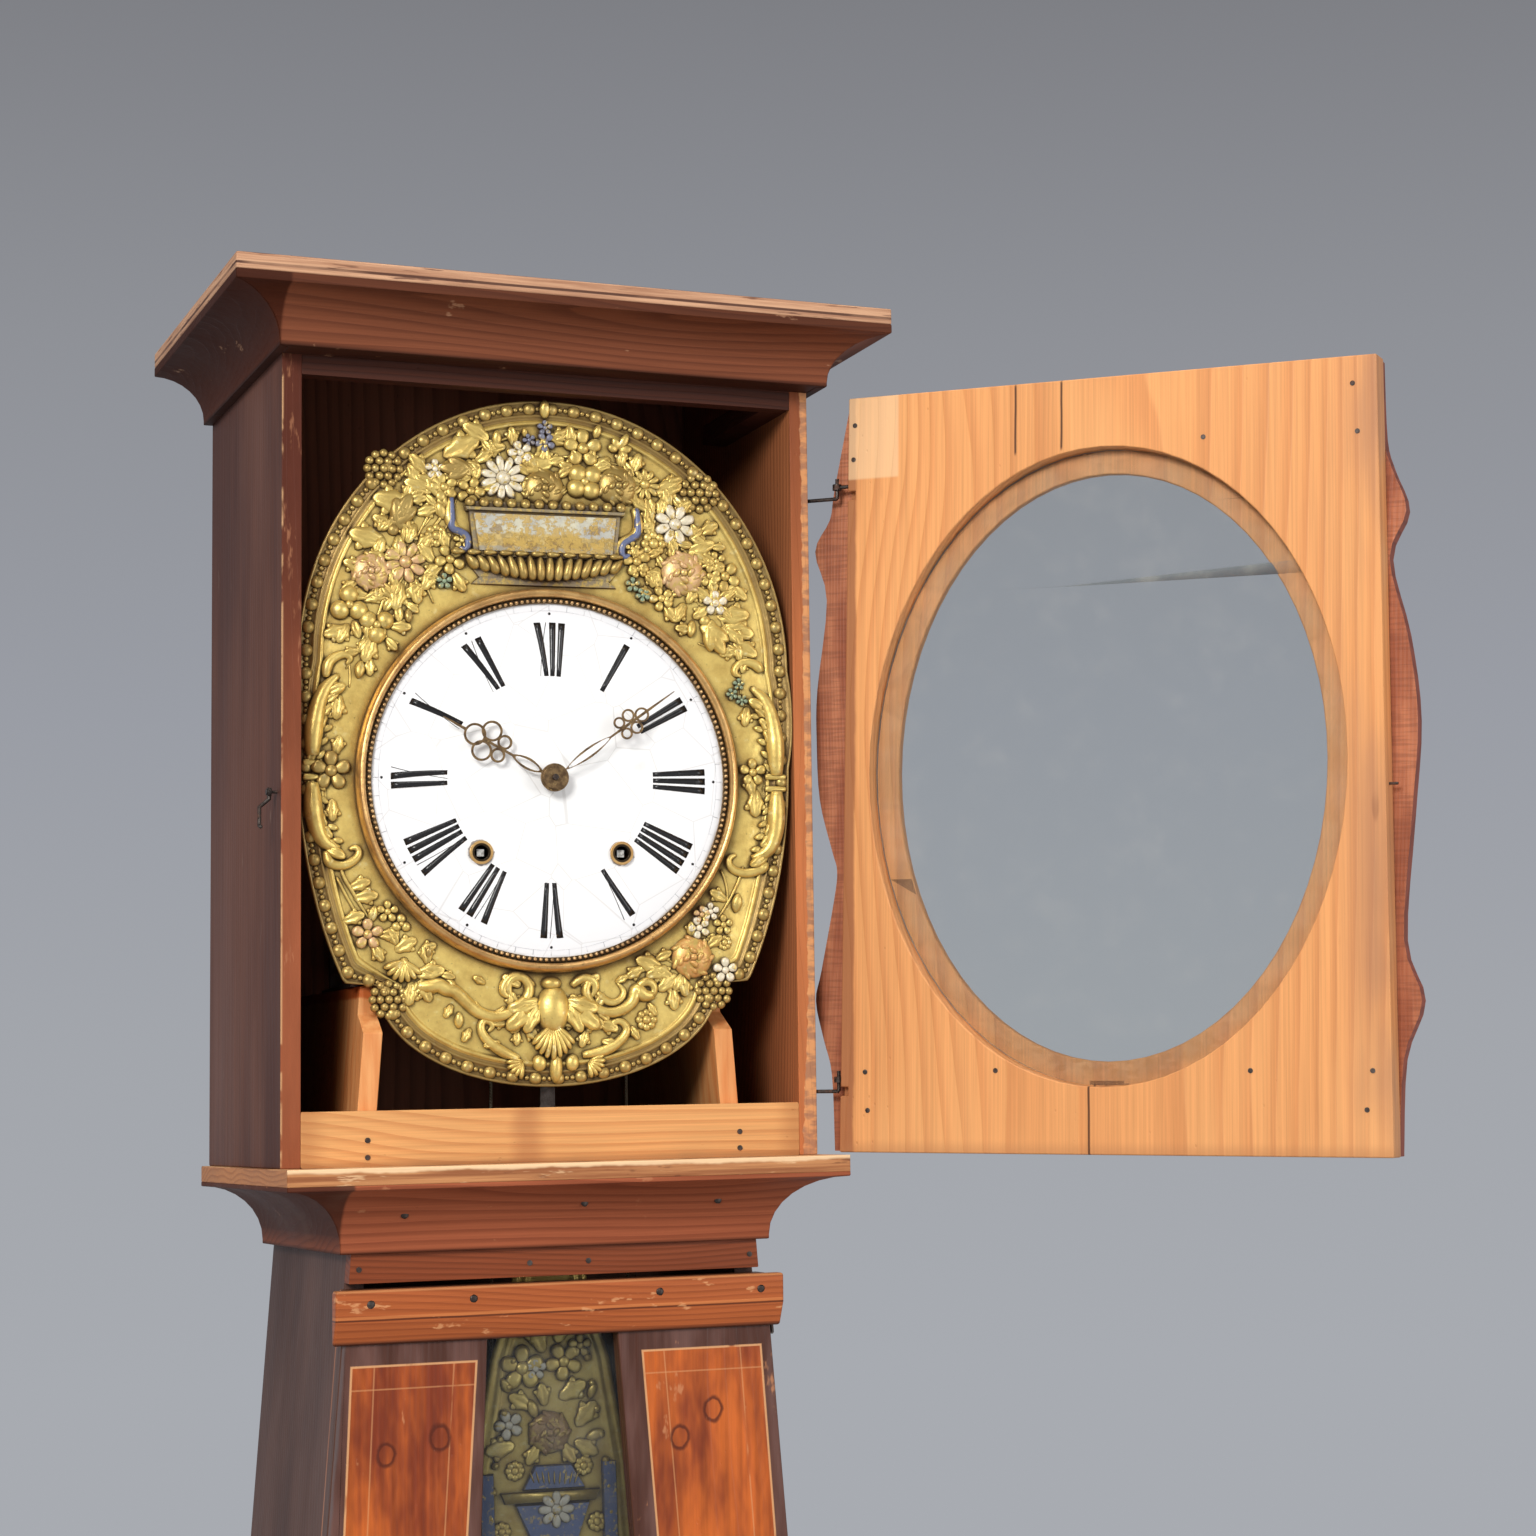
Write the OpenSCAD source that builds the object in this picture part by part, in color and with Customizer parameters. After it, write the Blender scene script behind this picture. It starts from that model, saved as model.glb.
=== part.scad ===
// Longcase pendulum clock in a pine case, standing with its hood door open.
// +Z is up, the front faces -Y. The origin is on the floor, under the middle of the hood.

/* [Case] */
// Height of the ledge that the hood stands on, above the floor
ledge_z = 1740; // [1640:5:1800]
// Outer depth of the case, front edges of the hood boards to the back
case_d = 240; // [235:1:260]
// Thickness of the pine boards of hood and trunk
board_t = 13; // [11:0.5:15]
// Thickness of the back boards
back_t = 10; // [8:0.5:12]

/* [Hood] */
// Outer width of the hood
hood_w = 367; // [364:1:380]
// Height of the hood's side boards
hood_h = 570; // [560:1:600]
// Height of the rail behind the cornice
head_rail_h = 52; // [45:1:56]
// Height of the rail at the bottom of the hood's front
bottom_rail_h = 36; // [25:1:45]

/* [Cornice] */
// How far the cornice cove runs out
cornice_out = 35; // [25:1:45]
// Height of the cornice cove
cornice_h = 39; // [30:1:45]
// How far the foot of the cove stands out from the hood's sides
cornice_lip_side = 6.5; // [4:0.5:10]
// How far the foot of the cove stands out in front
cornice_lip_front = 24; // [22:0.5:30]
// Thickness of the flat cap board
cap_t = 11; // [8:0.5:16]

/* [Ledge] */
// How far the ledge stands out past the hood's sides
ledge_over = 5.5; // [2:0.5:12]
// Height of the ledge cove, cap included
ledge_h = 55.5; // [45:0.5:65]
// Thickness of the ledge's cap board
ledge_cap_t = 11; // [8:0.5:14]
// How far the foot of the ledge cove stands out from the trunk's sides
ledge_lip_side = 8; // [5:0.5:10]
// How far the foot of the ledge cove stands out from the frieze
ledge_lip_front = 4.5; // [3:0.5:8]

/* [Trunk] */
// Outer width of the trunk just under the ledge
trunk_top_w = 276; // [270:1:282]
// Slant of each trunk side, mm outwards for each mm downwards
trunk_slant = 0.077; // [0.06:0.001:0.08]
// Height of the cheeks above the ledge, where the movement rests
cheek_h = 118; // [105:1:130]
// Height of the frieze under the ledge
frieze_h = 19; // [14:1:25]
// Thickness of the trunk door
trunk_door_t = 18; // [14:0.5:20]
// Height of the moulding on the trunk door
door_mould_h = 35; // [28:1:45]
// How far that moulding stands in front of the door
door_mould_t = 11; // [8:0.5:14]
// Width of the door's window at its top
window_top_w = 88; // [70:1:100]
// Width of the door's window at its bottom
window_bottom_w = 200; // [150:5:220]
// Thickness of the window glass in both doors
glass_t = 2.5; // [2:0.1:3]

/* [Base] */
// How far the base box stands out past the trunk's foot on each side
base_over = 17; // [15:0.5:30]
// Outer depth of the base box
base_d = 285; // [280:1:310]
// Height of the base box
base_h = 450; // [430:5:480]
// Thickness of the base's boards
base_t = 16; // [14:0.5:18]
// Height of the plinth boards
plinth_h = 70; // [50:1:90]

/* [Hood door] */
// Angle that the hood door stands open at
door_open = 133.5; // [120:0.5:134]
// Thickness of the hood door's planks
door_t = 18; // [15:0.5:19]
// Height of the hood door
door_h = 522; // [515:0.5:524]
// Distance from the door's pivot to its hinge edge at the bottom
door_edge_gap = 4.2; // [4:0.1:6]
// Width of the hood door at its bottom
door_w = 389; // [380:0.5:392]
// How much narrower the door's hinge side is at the top
door_taper_hinge = 3.8; // [0:0.1:6]
// How much narrower the door's free side is at the top
door_taper_free = 6; // [0:0.1:8]
// Half width of the oval opening
oval_a = 153; // [140:1:156]
// Half height of the oval opening
oval_b = 198; // [185:1:202]
// Width of the rebate around the oval
rebate_w = 17; // [12:0.5:18]
// Depth of the rebate, from the inner face
rebate_d = 12; // [8:0.5:13]
// Thickness of the scalloped strips on the door's front
strip_t = 10; // [8:0.5:11]
// How far the hinge axis leans outwards, mm per mm of height
hinge_lean_x = 0.0117; // [0.005:0.0001:0.013]
// How far the hinge axis leans forwards, mm per mm of height
hinge_lean_y = 0.005; // [0:0.0001:0.006]

/* [Face] */
// Radius of the white of the dial
dial_r = 120; // [116:0.5:121]
// Outer radius of the bezel ring
bezel_r = 130; // [128:0.5:132]
// Height of the dial's dome
dial_dome = 6; // [3:0.5:7]
// Gap between the stamped surround's edge and the hood's side boards
surround_gap = 3; // [2.5:0.5:8]
// Distance of the winding arbors from the middle
arbor_x = 47.6; // [46.8:0.1:49]
// Distance of the winding arbors below the hands
arbor_z = 49.8; // [48:0.1:52]
// Turn of the movement towards the viewer's left, as it sits in the case
turn = 4.8; // [0:0.1:5]

/* [Movement] */
// Width of the iron cage
cage_w = 260; // [250:1:264]
// Depth of the iron cage
cage_d = 130; // [124:1:136]
// Height of the iron cage
cage_h = 250; // [240:1:262]
// Radius at which a weight line leaves its barrel
line_turn_r = 22.4; // [21:0.1:24]
// Radius of a weight line
line_r = 1.1; // [0.8:0.1:1.5]
// Radial clearance of the running fits
run_fit = 0.05; // [0.03:0.01:0.1]

/* [Pendulum and weights] */
// Radius of the pendulum's bob
bob_r = 115; // [100:1:118]
// Distance from the pendulum's pivot to the middle of its bob
bob_drop = 968; // [900:1:990]
// Radius of the cast-iron weights
weight_r = 36; // [30:1:39]
// Height of the cast-iron weights
weight_h = 170; // [140:1:230]

/* [Hidden] */
$fn = 48;

// Teeth and modules of the two trains, which set the gear ratios
great_n = 84;
great_m = 1;
second_n = 72;
second_m = 0.8;
third_n = 80;
third_m = 0.65;
locking_n = 72;
locking_m = 0.6;
escape_n = 40;
leaf_n = 8;

// Outer planes of the case
front_y = -case_d/2;
back_y = case_d/2;
hood_in = hood_w/2 - board_t;
hood_top = ledge_z + hood_h;
cornice_z = hood_top - cornice_h;
ledge_foot = ledge_z - ledge_h;
ledge_top = ledge_z - ledge_cap_t;
// Plane behind the rails, where the side boards' front edges lie
edge_y = front_y + board_t;
// Plane in front of the back boards
back_in = back_y - back_t;
base_front_y = back_y - base_d;
ledge_out = hood_w/2 + ledge_over - trunk_top_w/2 - ledge_lip_side;
base_w = round(10*(trunk_top_w/2 + trunk_slant*(ledge_foot - base_h) + base_over))/5;
// Small gaps between boards that only lie beside each other, and oversize of every cut
gap = 0.5;
fit = 0.1;
cut = 1;
pine = [0.62, 0.36, 0.2];
dark_pine = [0.36, 0.26, 0.2];
iron = [0.3, 0.29, 0.28];
brass = [0.72, 0.56, 0.24];
pale_glass = [0.8, 0.88, 0.9, 0.4];

// Half of the trunk's outer width at height z
function trunk_half(z) = trunk_top_w/2 + trunk_slant*(ledge_foot - z);
// Points of an arc of an ellipse, from angle a0 to a1
function arc(at, rx, ry, a0, a1, n) =
  [for (i = [0 : n]) let(a = a0 + (a1 - a0)*i/n) at + [rx*cos(a), ry*sin(a)]];
// Hollow moulding profile: x runs outwards from the wall, y upwards from the foot
function cove(lip, out, h, foot, head) = concat(
  [[0, 0], [lip, 0]],
  arc([lip + out, foot], -out, h - foot - head, 0, 90, 8),
  [[lip + out, h], [0, h]]);
// A smooth line through the points p
function smooth(p, n = 4) = concat(
  [for (i = [0 : len(p) - 2], k = [0 : n - 1])
    let(t = k/n, a = p[max(i - 1, 0)], b = p[i], c = p[i + 1], d = p[min(i + 2, len(p) - 1)])
    0.5*(2*b + t*(c - a) + t*t*(2*a - 5*b + 4*c - d) + t*t*t*(3*b - a - 3*c + d))],
  [p[len(p) - 1]]);

module board(x0, x1, y0, y1, z0, z1) {
  translate([x0, y0, z0]) cube([x1 - x0, y1 - y0, z1 - z0]);
}

// An outline seen from the front, from y0 back to y1
module upright(y0, y1) {
  translate([0, y1, 0]) rotate([90, 0, 0]) linear_extrude(y1 - y0) children();
}

// A profile seen from the right side, drawn as y and z, from x0 to x1
module sideways(x0, x1) {
  translate([x0, 0, 0]) rotate([90, 0, 90]) linear_extrude(x1 - x0) children();
}

module rod(at, y0, y1, r) {
  translate([at[0], y0, at[1]]) rotate([-90, 0, 0]) cylinder(h = y1 - y0, r = r);
}

// Round wire from a to b, with a slightly thicker bend or end at b
module wire(a, b, r) {
  v = b - a;
  translate(a) rotate([0, acos(v[2]/norm(v)), atan2(v[1], v[0])]) cylinder(h = norm(v), r = r);
  translate(b) sphere(r = 1.08*r);
}

module both_sides() {
  children();
  mirror([1, 0, 0]) children();
}

// Hood

module hood_side(side) {
  color(pine) board(side > 0 ? hood_in : -hood_w/2, side > 0 ? hood_w/2 : -hood_in,
    front_y, back_y, ledge_z, hood_top);
}

module hood_side_left() hood_side(-1);

module hood_side_right() hood_side(1);

module hood_back() {
  color(dark_pine) board(-hood_in, hood_in, back_in, back_y, ledge_z, hood_top);
}

module cap_board() {
  side = hood_w/2 + cornice_lip_side + cornice_out;
  color(dark_pine) board(-side, side, front_y - cornice_lip_front - cornice_out, back_y,
    hood_top, hood_top + cap_t);
}

// The rail behind the cornice, with the glue block in its right corner
block_w = 18;
block_h = 14;
block_len = 120;
module head_rail() {
  z0 = hood_top - head_rail_h;
  color(pine) board(-hood_in, hood_in, front_y, edge_y, z0, hood_top);
  color(pine) board(hood_in - block_w, hood_in, edge_y + fit, edge_y + block_len, z0, z0 + block_h);
}

module bottom_rail() {
  color(pine) board(-hood_in, hood_in, front_y, edge_y - gap, ledge_z, ledge_z + bottom_rail_h);
}

cove_foot = 3;
cove_head = 6;
mitre_gap = 0.15;
module cornice() {
  side = hood_w/2;
  inner = side - mitre_gap;
  far = cornice_lip_side + cornice_out;
  out_y = front_y - cornice_lip_front - cornice_out;
  color([0.35, 0.14, 0.08]) intersection() {
    sideways(-side - far, side + far)
      polygon([for (p = cove(cornice_lip_front, cornice_out, cornice_h, cove_foot, cove_head))
        [front_y - p[0], cornice_z + p[1]]]);
    translate([0, 0, cornice_z]) linear_extrude(cornice_h)
      polygon([[-side - far, out_y], [side + far, out_y], [inner, out_y + far], [inner, front_y],
        [-inner, front_y], [-inner, out_y + far]]);
  }
  color([0.16, 0.09, 0.07]) both_sides() intersection() {
    upright(out_y, back_y)
      polygon([for (p = cove(cornice_lip_side, cornice_out, cornice_h, cove_foot, cove_head))
        [side + p[0], cornice_z + p[1]]]);
    translate([0, mitre_gap, cornice_z]) linear_extrude(cornice_h)
      polygon([[side + far, out_y], [side + far, back_y - mitre_gap], [side, back_y - mitre_gap],
        [side, out_y + far]]);
  }
}

// Ledge between hood and trunk

notch_gap = 2;
ledge_side = trunk_half(ledge_foot) + ledge_lip_side + ledge_out;
ledge_front = front_y - ledge_lip_front - ledge_out;
module ledge_cap() {
  color(pine) difference() {
    board(-ledge_side, ledge_side, ledge_front, back_y, ledge_top, ledge_z);
    notch = trunk_half(ledge_top) + notch_gap;
    board(-notch, notch, edge_y - gap, back_y + cut, ledge_top - cut, ledge_z + cut);
  }
}

module ledge_cove() {
  h = ledge_top - ledge_foot;
  far = ledge_lip_side + ledge_out;
  near = trunk_half(ledge_foot);
  mitre = front_y - ledge_front;
  color(pine) intersection() {
    sideways(-ledge_side, ledge_side)
      polygon([for (p = cove(ledge_lip_front, ledge_out, h, cove_foot, cove_foot))
        [front_y - p[0], ledge_foot + p[1]]]);
    translate([0, 0, ledge_foot]) linear_extrude(h)
      polygon([[-ledge_side, ledge_front], [ledge_side, ledge_front],
        [ledge_side - mitre, front_y], [mitre - ledge_side, front_y]]);
  }
  color(pine) both_sides() intersection() {
    upright(ledge_front, back_y) polygon(concat(
      [[trunk_half(ledge_foot) + fit, ledge_foot]],
      [for (p = cove(ledge_lip_side, ledge_out, h, cove_foot, cove_foot))
        if (p[0] > 0) [near + p[0], ledge_foot + p[1]]],
      [[trunk_half(ledge_top) + fit, ledge_top]]));
    translate([0, mitre_gap, ledge_foot]) linear_extrude(h)
      polygon([[ledge_side, ledge_front], [ledge_side, back_y - mitre_gap],
        [near - far, back_y - mitre_gap], [near - far, front_y], [ledge_side - mitre, front_y]]);
  }
}

frieze_z = ledge_foot - frieze_h;
module slanted_rail(z0, z1) {
  upright(front_y, edge_y) polygon([[-trunk_half(z0), z0], [trunk_half(z0), z0],
    [trunk_half(z1), z1], [-trunk_half(z1), z1]]);
}

module frieze_rail() {
  color(pine) slanted_rail(frieze_z, ledge_top);
}

// Trunk

bottom_rail_top = base_h + 37;
side_t = board_t*sqrt(1 + trunk_slant*trunk_slant);
cheek_z = ledge_z + cheek_h;
button_z = 1000;
button_in = 28;
// Bevelled corner at the front of each cheek, which the surround's foot passes
bevel_in = 20;
bevel_low = 32;
bevel_high = 19;
module trunk_side() {
  difference() {
    upright(edge_y, back_y) polygon([[trunk_half(base_h), base_h], [trunk_half(cheek_z), cheek_z],
      [trunk_half(cheek_z) - side_t, cheek_z], [trunk_half(base_h) - side_t, base_h]]);
    board(0, base_w, back_in - gap, back_y + cut, ledge_z - gap, cheek_z + cut);
    sideways(0, base_w) polygon([[edge_y - cut, cheek_z - bevel_low], [edge_y + bevel_in,
      cheek_z - bevel_high], [edge_y + bevel_in, cheek_z + cut], [edge_y - cut, cheek_z + cut]]);
  }
}

// The left board has a pocket for the turn-button's tongue
tongue_len = 22;
tongue_y = edge_y + 6;
tongue_t = 3;
pocket_gap = 1.5;
module trunk_side_left() {
  near = button_in - trunk_half(button_z);
  color(dark_pine) difference() {
    mirror([1, 0, 0]) trunk_side();
    board(near - tongue_len - 3, near - button_in + board_t + 4, tongue_y - pocket_gap,
      tongue_y + tongue_t + pocket_gap, button_z - tongue_len, button_z + tongue_len);
  }
}

module trunk_side_right() {
  color(dark_pine) trunk_side();
}

module trunk_back() {
  inner = board_t + gap;
  color(dark_pine) upright(back_in, back_y) polygon([
    [trunk_half(base_h) - inner, base_h], [trunk_half(ledge_z) - inner, ledge_z],
    [inner - trunk_half(ledge_z), ledge_z], [inner - trunk_half(base_h), base_h]]);
}

module trunk_bottom_rail() {
  color(pine) slanted_rail(base_h, bottom_rail_top);
}

// Base

base_in = base_w/2 - base_t;
module base_front() {
  color(pine) board(-base_w/2, base_w/2, base_front_y, base_front_y + base_t, 0, base_h);
}

module base_sides() {
  color(dark_pine) both_sides()
    board(base_in, base_w/2, base_front_y + base_t, back_y, 0, base_h);
}

module base_back() {
  color(dark_pine) board(-base_in, base_in, back_in, back_y, 0, base_h);
}

// The deck that the trunk stands on, open in the middle for the weights, and the floor
deck_rim = 29;
deck_front = -95;
deck_back = 100;
floor_z = 0;
module base_shelves() {
  color(dark_pine) difference() {
    board(-base_in, base_in, base_front_y + base_t, back_in, base_h - base_t, base_h);
    board(deck_rim - base_in, base_in - deck_rim, deck_front, deck_back, base_h - base_t - cut,
      base_h + cut);
  }
  color(dark_pine) board(-base_in, base_in, base_front_y + base_t, back_in, floor_z,
    floor_z + base_t);
}

// Hollow moulding round the trunk's foot
foot_out = 6;
foot_h = 26;
foot_edge = 8;
module base_moulding() {
  side = base_w/2 + foot_out;
  inner = side - 23 - mitre_gap;
  out_y = base_front_y - foot_out;
  hollow = arc([0, foot_h], -17, -(foot_h - foot_edge), 90, 0, 6);
  color(pine) intersection() {
    sideways(-side, side) polygon(concat([[front_y - fit, base_h], [out_y, base_h],
      [out_y, base_h + foot_edge]], [for (p = hollow) [out_y + 3 - p[0], base_h + p[1]]],
      [[front_y - fit, base_h + foot_h]]));
    translate([0, 0, base_h]) linear_extrude(foot_h) polygon([[-side, out_y], [side, out_y],
      [inner, out_y + 23], [inner, front_y], [-inner, front_y], [-inner, out_y + 23]]);
  }
  color(pine) both_sides() intersection() {
    upright(out_y, back_y) polygon(concat([[trunk_half(base_h) + fit, base_h], [side, base_h],
      [side, base_h + foot_edge]], [for (p = hollow) [side - 3 + p[0], base_h + p[1]]],
      [[trunk_half(base_h + foot_h) + fit, base_h + foot_h]]));
    translate([0, mitre_gap, base_h]) linear_extrude(foot_h) polygon([[side, out_y],
      [side, back_y - mitre_gap], [side - 40, back_y - mitre_gap], [side - 40, front_y],
      [side - 23, front_y], [side - 23, out_y + 23]]);
  }
}

plinth_t = 10;
module plinth() {
  color(dark_pine) board(-base_w/2 - plinth_t, base_w/2 + plinth_t, base_front_y - plinth_t,
    base_front_y, 0, plinth_h);
  color(dark_pine) both_sides()
    board(base_w/2, base_w/2 + plinth_t, base_front_y, back_y, 0, plinth_h);
}

// Hinges: wire eyes that turn on wire pins

pin_r = 1.3;
eye_r = 3.2;
eye_h = 4;
pin_below = 8;
pivot_x = hood_w/2 + 13.5;
pivot_y = front_y - 7.5;
// A height on the hood door, drawn for a door 522 mm high
function on_door(h) = ledge_z + h*door_h/522;
pivot_z = on_door(50.8);
upper_z = on_door(463);
function hood_axis(z) =
  [pivot_x + hinge_lean_x*(z - pivot_z), pivot_y - hinge_lean_y*(z - pivot_z), z];
module on_hood_axis(z) {
  translate(hood_axis(z)) rotate(a = atan(norm([hinge_lean_x, hinge_lean_y])),
    v = [hinge_lean_y, hinge_lean_x, 0]) children();
}

trunk_pin_gap = 4;
trunk_door_over = 3;
trunk_pin_y = edge_y - gap - trunk_door_t/2;
trunk_hinges = [base_h + 110, frieze_z - 36];
module on_trunk_axis(z) {
  translate([trunk_half(z) + trunk_door_over + trunk_pin_gap, trunk_pin_y, z])
    rotate([0, -atan(trunk_slant), 0]) children();
}

module hinge_pins() {
  color(iron) for (z = [pivot_z, upper_z]) {
    on_hood_axis(z) translate([0, 0, -pin_below]) cylinder(h = pin_below + 6, r = pin_r);
    difference() {
      on_hood_axis(z) translate([0, 0, -pin_below]) rotate([0, 90, 135])
        cylinder(h = 2*(pivot_x - hood_w/2), r = pin_r);
      board(0, hood_w/2, front_y, back_y, z - 50, z + 50);
    }
  }
  color(iron) for (z = trunk_hinges) {
    on_trunk_axis(z) translate([0, 0, -pin_below]) cylinder(h = pin_below + 6, r = pin_r);
    difference() {
      on_trunk_axis(z) union() {
        wire([0, 0, -pin_below], [0, 22, -pin_below], pin_r);
        wire([0, 22, -pin_below], [-20, 22, -pin_below], pin_r);
      }
      trunk_side();
      board(0, trunk_half(z) - 4, front_y, back_y, z - 50, z + 50);
    }
  }
}

latch_at = [-hood_w/2, front_y + 12, on_door(243)];
latch_pin_r = 1;
module case_nails() {
  head = 0.5;
  color(iron) both_sides() {
    for (z = [6, 17])
      rod([trunk_half(ledge_z) - board_t/2, ledge_z + z], front_y - head, front_y, 1.8);
    rod([trunk_half(frieze_z) - board_t/2, frieze_z + 9], front_y - head, front_y, 1.8);
    rod([20, frieze_z + 9], front_y - head, front_y, 1.8);
    rod([trunk_half(base_h) - board_t/2, base_h + foot_h + 5], front_y - head, front_y, 1.8);
    rod([base_w/2 - base_t/2, base_h - 20], base_front_y - head, base_front_y, 1.8);
    rod([base_w/2 - base_t/2, base_h/2], base_front_y - head, base_front_y, 1.8);
  }
  color(iron) translate(latch_at) rotate([0, -90, 0]) {
    cylinder(h = 6.5, r = latch_pin_r);
    translate([0, 0, 6.5]) cylinder(h = 0.8, r = 2);
  }
}

// Hood door, drawn closed and turned open about its hinge axis

door_in = front_y - gap;
door_out = door_in - door_t;
door_foot = ledge_z + 1.5;
oval_at = [pivot_x - 195, on_door(261)];
function door_edge(z) = pivot_x - door_edge_gap - door_taper_hinge*(z - door_foot)/door_h;
function door_free(z) = pivot_x - door_edge_gap - door_w + door_taper_free*(z - door_foot)/door_h;
module stand_open() {
  translate(hood_axis(pivot_z)) rotate(a = door_open, v = [hinge_lean_x, -hinge_lean_y, 1])
    translate(-hood_axis(pivot_z)) children();
}

module door_outline() {
  top = door_foot + door_h;
  polygon([[door_edge(door_foot), door_foot], [door_edge(top), top], [door_free(top), top],
    [door_free(door_foot), door_foot]]);
}

module oval(a, b) {
  polygon(arc(oval_at, a, b, 0, 355, 71));
}

module hood_door_board() {
  color([0.76, 0.54, 0.3]) stand_open() difference() {
    upright(door_out, door_in) door_outline();
    upright(door_out - cut, door_in + cut) oval(oval_a, oval_b);
    upright(door_in - rebate_d, door_in + cut) oval(oval_a + rebate_w, oval_b + rebate_w);
    // Notches that clear the arms of the hinge pins
    for (z = [pivot_z, upper_z])
      board(door_edge(z) - 5.5, pivot_x, door_in - 6, door_in + cut, z - pin_below - 3,
        z - pin_below + 3);
  }
}

module hood_door_glass() {
  y = door_in - rebate_d;
  color(pale_glass) stand_open() upright(y, y + glass_t) oval(oval_a + rebate_w - 1,
    oval_b + rebate_w - 1);
}

// How far each scalloped strip runs past the door's edge, at heights on the door
hinge_scallops = [[12, 2], [15, 54], [21.5, 78], [28, 105], [24, 126], [15, 175], [13, 195],
  [17, 209], [27, 245], [30, 287], [30, 322], [23.5, 385], [33, 420], [22, 442], [18.6, 463], [7, 523]];
free_scallops = [[-0.6, 2], [3, 64], [16, 102], [5, 141], [12, 220], [17.6, 284], [12, 340],
  [1, 391], [13, 422], [4, 450], [-1, 471], [-2, 523]];
strip_inside = 20;
module hood_door_strips() {
  color([0.4, 0.15, 0.1]) stand_open() upright(door_out - strip_t, door_out) {
    polygon(concat(
      [for (p = smooth(hinge_scallops)) [door_edge(on_door(p[1])) + p[0], on_door(p[1])]],
      [[door_edge(ledge_z) - strip_inside, on_door(523)], [door_edge(ledge_z) - strip_inside,
        on_door(2)]]));
    polygon(concat(
      [for (p = smooth(free_scallops)) [door_free(on_door(p[1])) - p[0], on_door(p[1])]],
      [[door_free(ledge_z) + strip_inside, on_door(523)], [door_free(ledge_z) + strip_inside,
        on_door(2)]]));
  }
}

// Nail heads on the door's inner face: distance from the pivot, height on the door
door_nails = [[371, 505], [374, 473], [268, 477], [13, 504], [12, 480], [23, 56], [25, 30],
  [119, 57], [298, 57], [380, 57], [376, 32]];
catch_nail = [door_out + 9, on_door(242)];
module hood_door_irons() {
  color(iron) stand_open() {
    for (z = [pivot_z, upper_z]) {
      difference() {
        on_hood_axis(z) union() {
          translate([0, 0, -eye_h/2]) cylinder(h = eye_h, r = eye_r);
          rotate([0, -90, 0]) cylinder(h = 20, r = pin_r);
        }
        on_hood_axis(z) translate([0, 0, -eye_h]) cylinder(h = 2*eye_h, r = pin_r + run_fit);
        upright(door_out, door_in) door_outline();
      }
    }
    for (p = door_nails)
      rod([pivot_x - p[0], on_door(p[1])], door_in, door_in + 0.3, 1.7);
    difference() {
      translate([door_free(catch_nail[1]) + 2, catch_nail[0], catch_nail[1]]) rotate([0, -90, 0])
        cylinder(h = 8, r = 0.9);
      upright(door_out, door_in) door_outline();
    }
  }
}

// Wire hook that hangs beside the hood and holds the door's catch nail
hook_r = 1.2;
hook_eye = 3;
hook_out = 11.5;
hook_len = 22;
module latch_hook() {
  x0 = -5.2;
  color(iron) translate(latch_at) {
    difference() {
      translate([x0 - hook_r, 0, 0]) rotate([0, 90, 0]) cylinder(h = 2*hook_r, r = hook_eye);
      translate([x0 - 3, 0, 0]) rotate([0, 90, 0]) cylinder(h = 6, r = latch_pin_r + run_fit);
    }
    wire([x0, 0, -2.3], [x0, 0, -4.5], hook_r);
    wire([x0, 0, -4.5], [-hook_out, 0, -10], hook_r);
    wire([-hook_out, 0, -10], [-hook_out, 0, -hook_len], hook_r);
    wire([-hook_out, 0, -hook_len], [-hook_out, -4, -hook_len - 1], hook_r);
  }
}

// Trunk door, drawn closed

trunk_door_in = edge_y - gap;
trunk_door_out = trunk_door_in - trunk_door_t;
trunk_door_foot = bottom_rail_top + 3;
trunk_door_top = frieze_z - 3.5;
window_top = trunk_door_top - 35;
window_foot = base_h + 190;
window_top_x = -6;
window_bottom_x = 15;
window_rebate = 6;
module trunk_door_board() {
  color(pine) difference() {
    upright(trunk_door_out, trunk_door_in) polygon([
      [trunk_half(trunk_door_foot) + trunk_door_over, trunk_door_foot],
      [trunk_half(trunk_door_top) + trunk_door_over, trunk_door_top],
      [-trunk_half(trunk_door_top) - trunk_door_over, trunk_door_top],
      [-trunk_half(trunk_door_foot) - trunk_door_over, trunk_door_foot]]);
    upright(trunk_door_out - cut, trunk_door_in + cut) window(0);
    upright(trunk_door_in - window_rebate, trunk_door_in + cut) window(8);
    rod([button_in - trunk_half(button_z), button_z], trunk_door_out - cut, trunk_door_in + cut,
      button_shaft + run_fit);
  }
}

// The long window, wider at its foot, grown by g all round
module window(g) {
  polygon([[window_bottom_x + window_bottom_w/2 + g, window_foot - g],
    [window_top_x + window_top_w/2 + g, window_top + g],
    [window_top_x - window_top_w/2 - g, window_top + g],
    [window_bottom_x - window_bottom_w/2 - g, window_foot - g]]);
}

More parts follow.
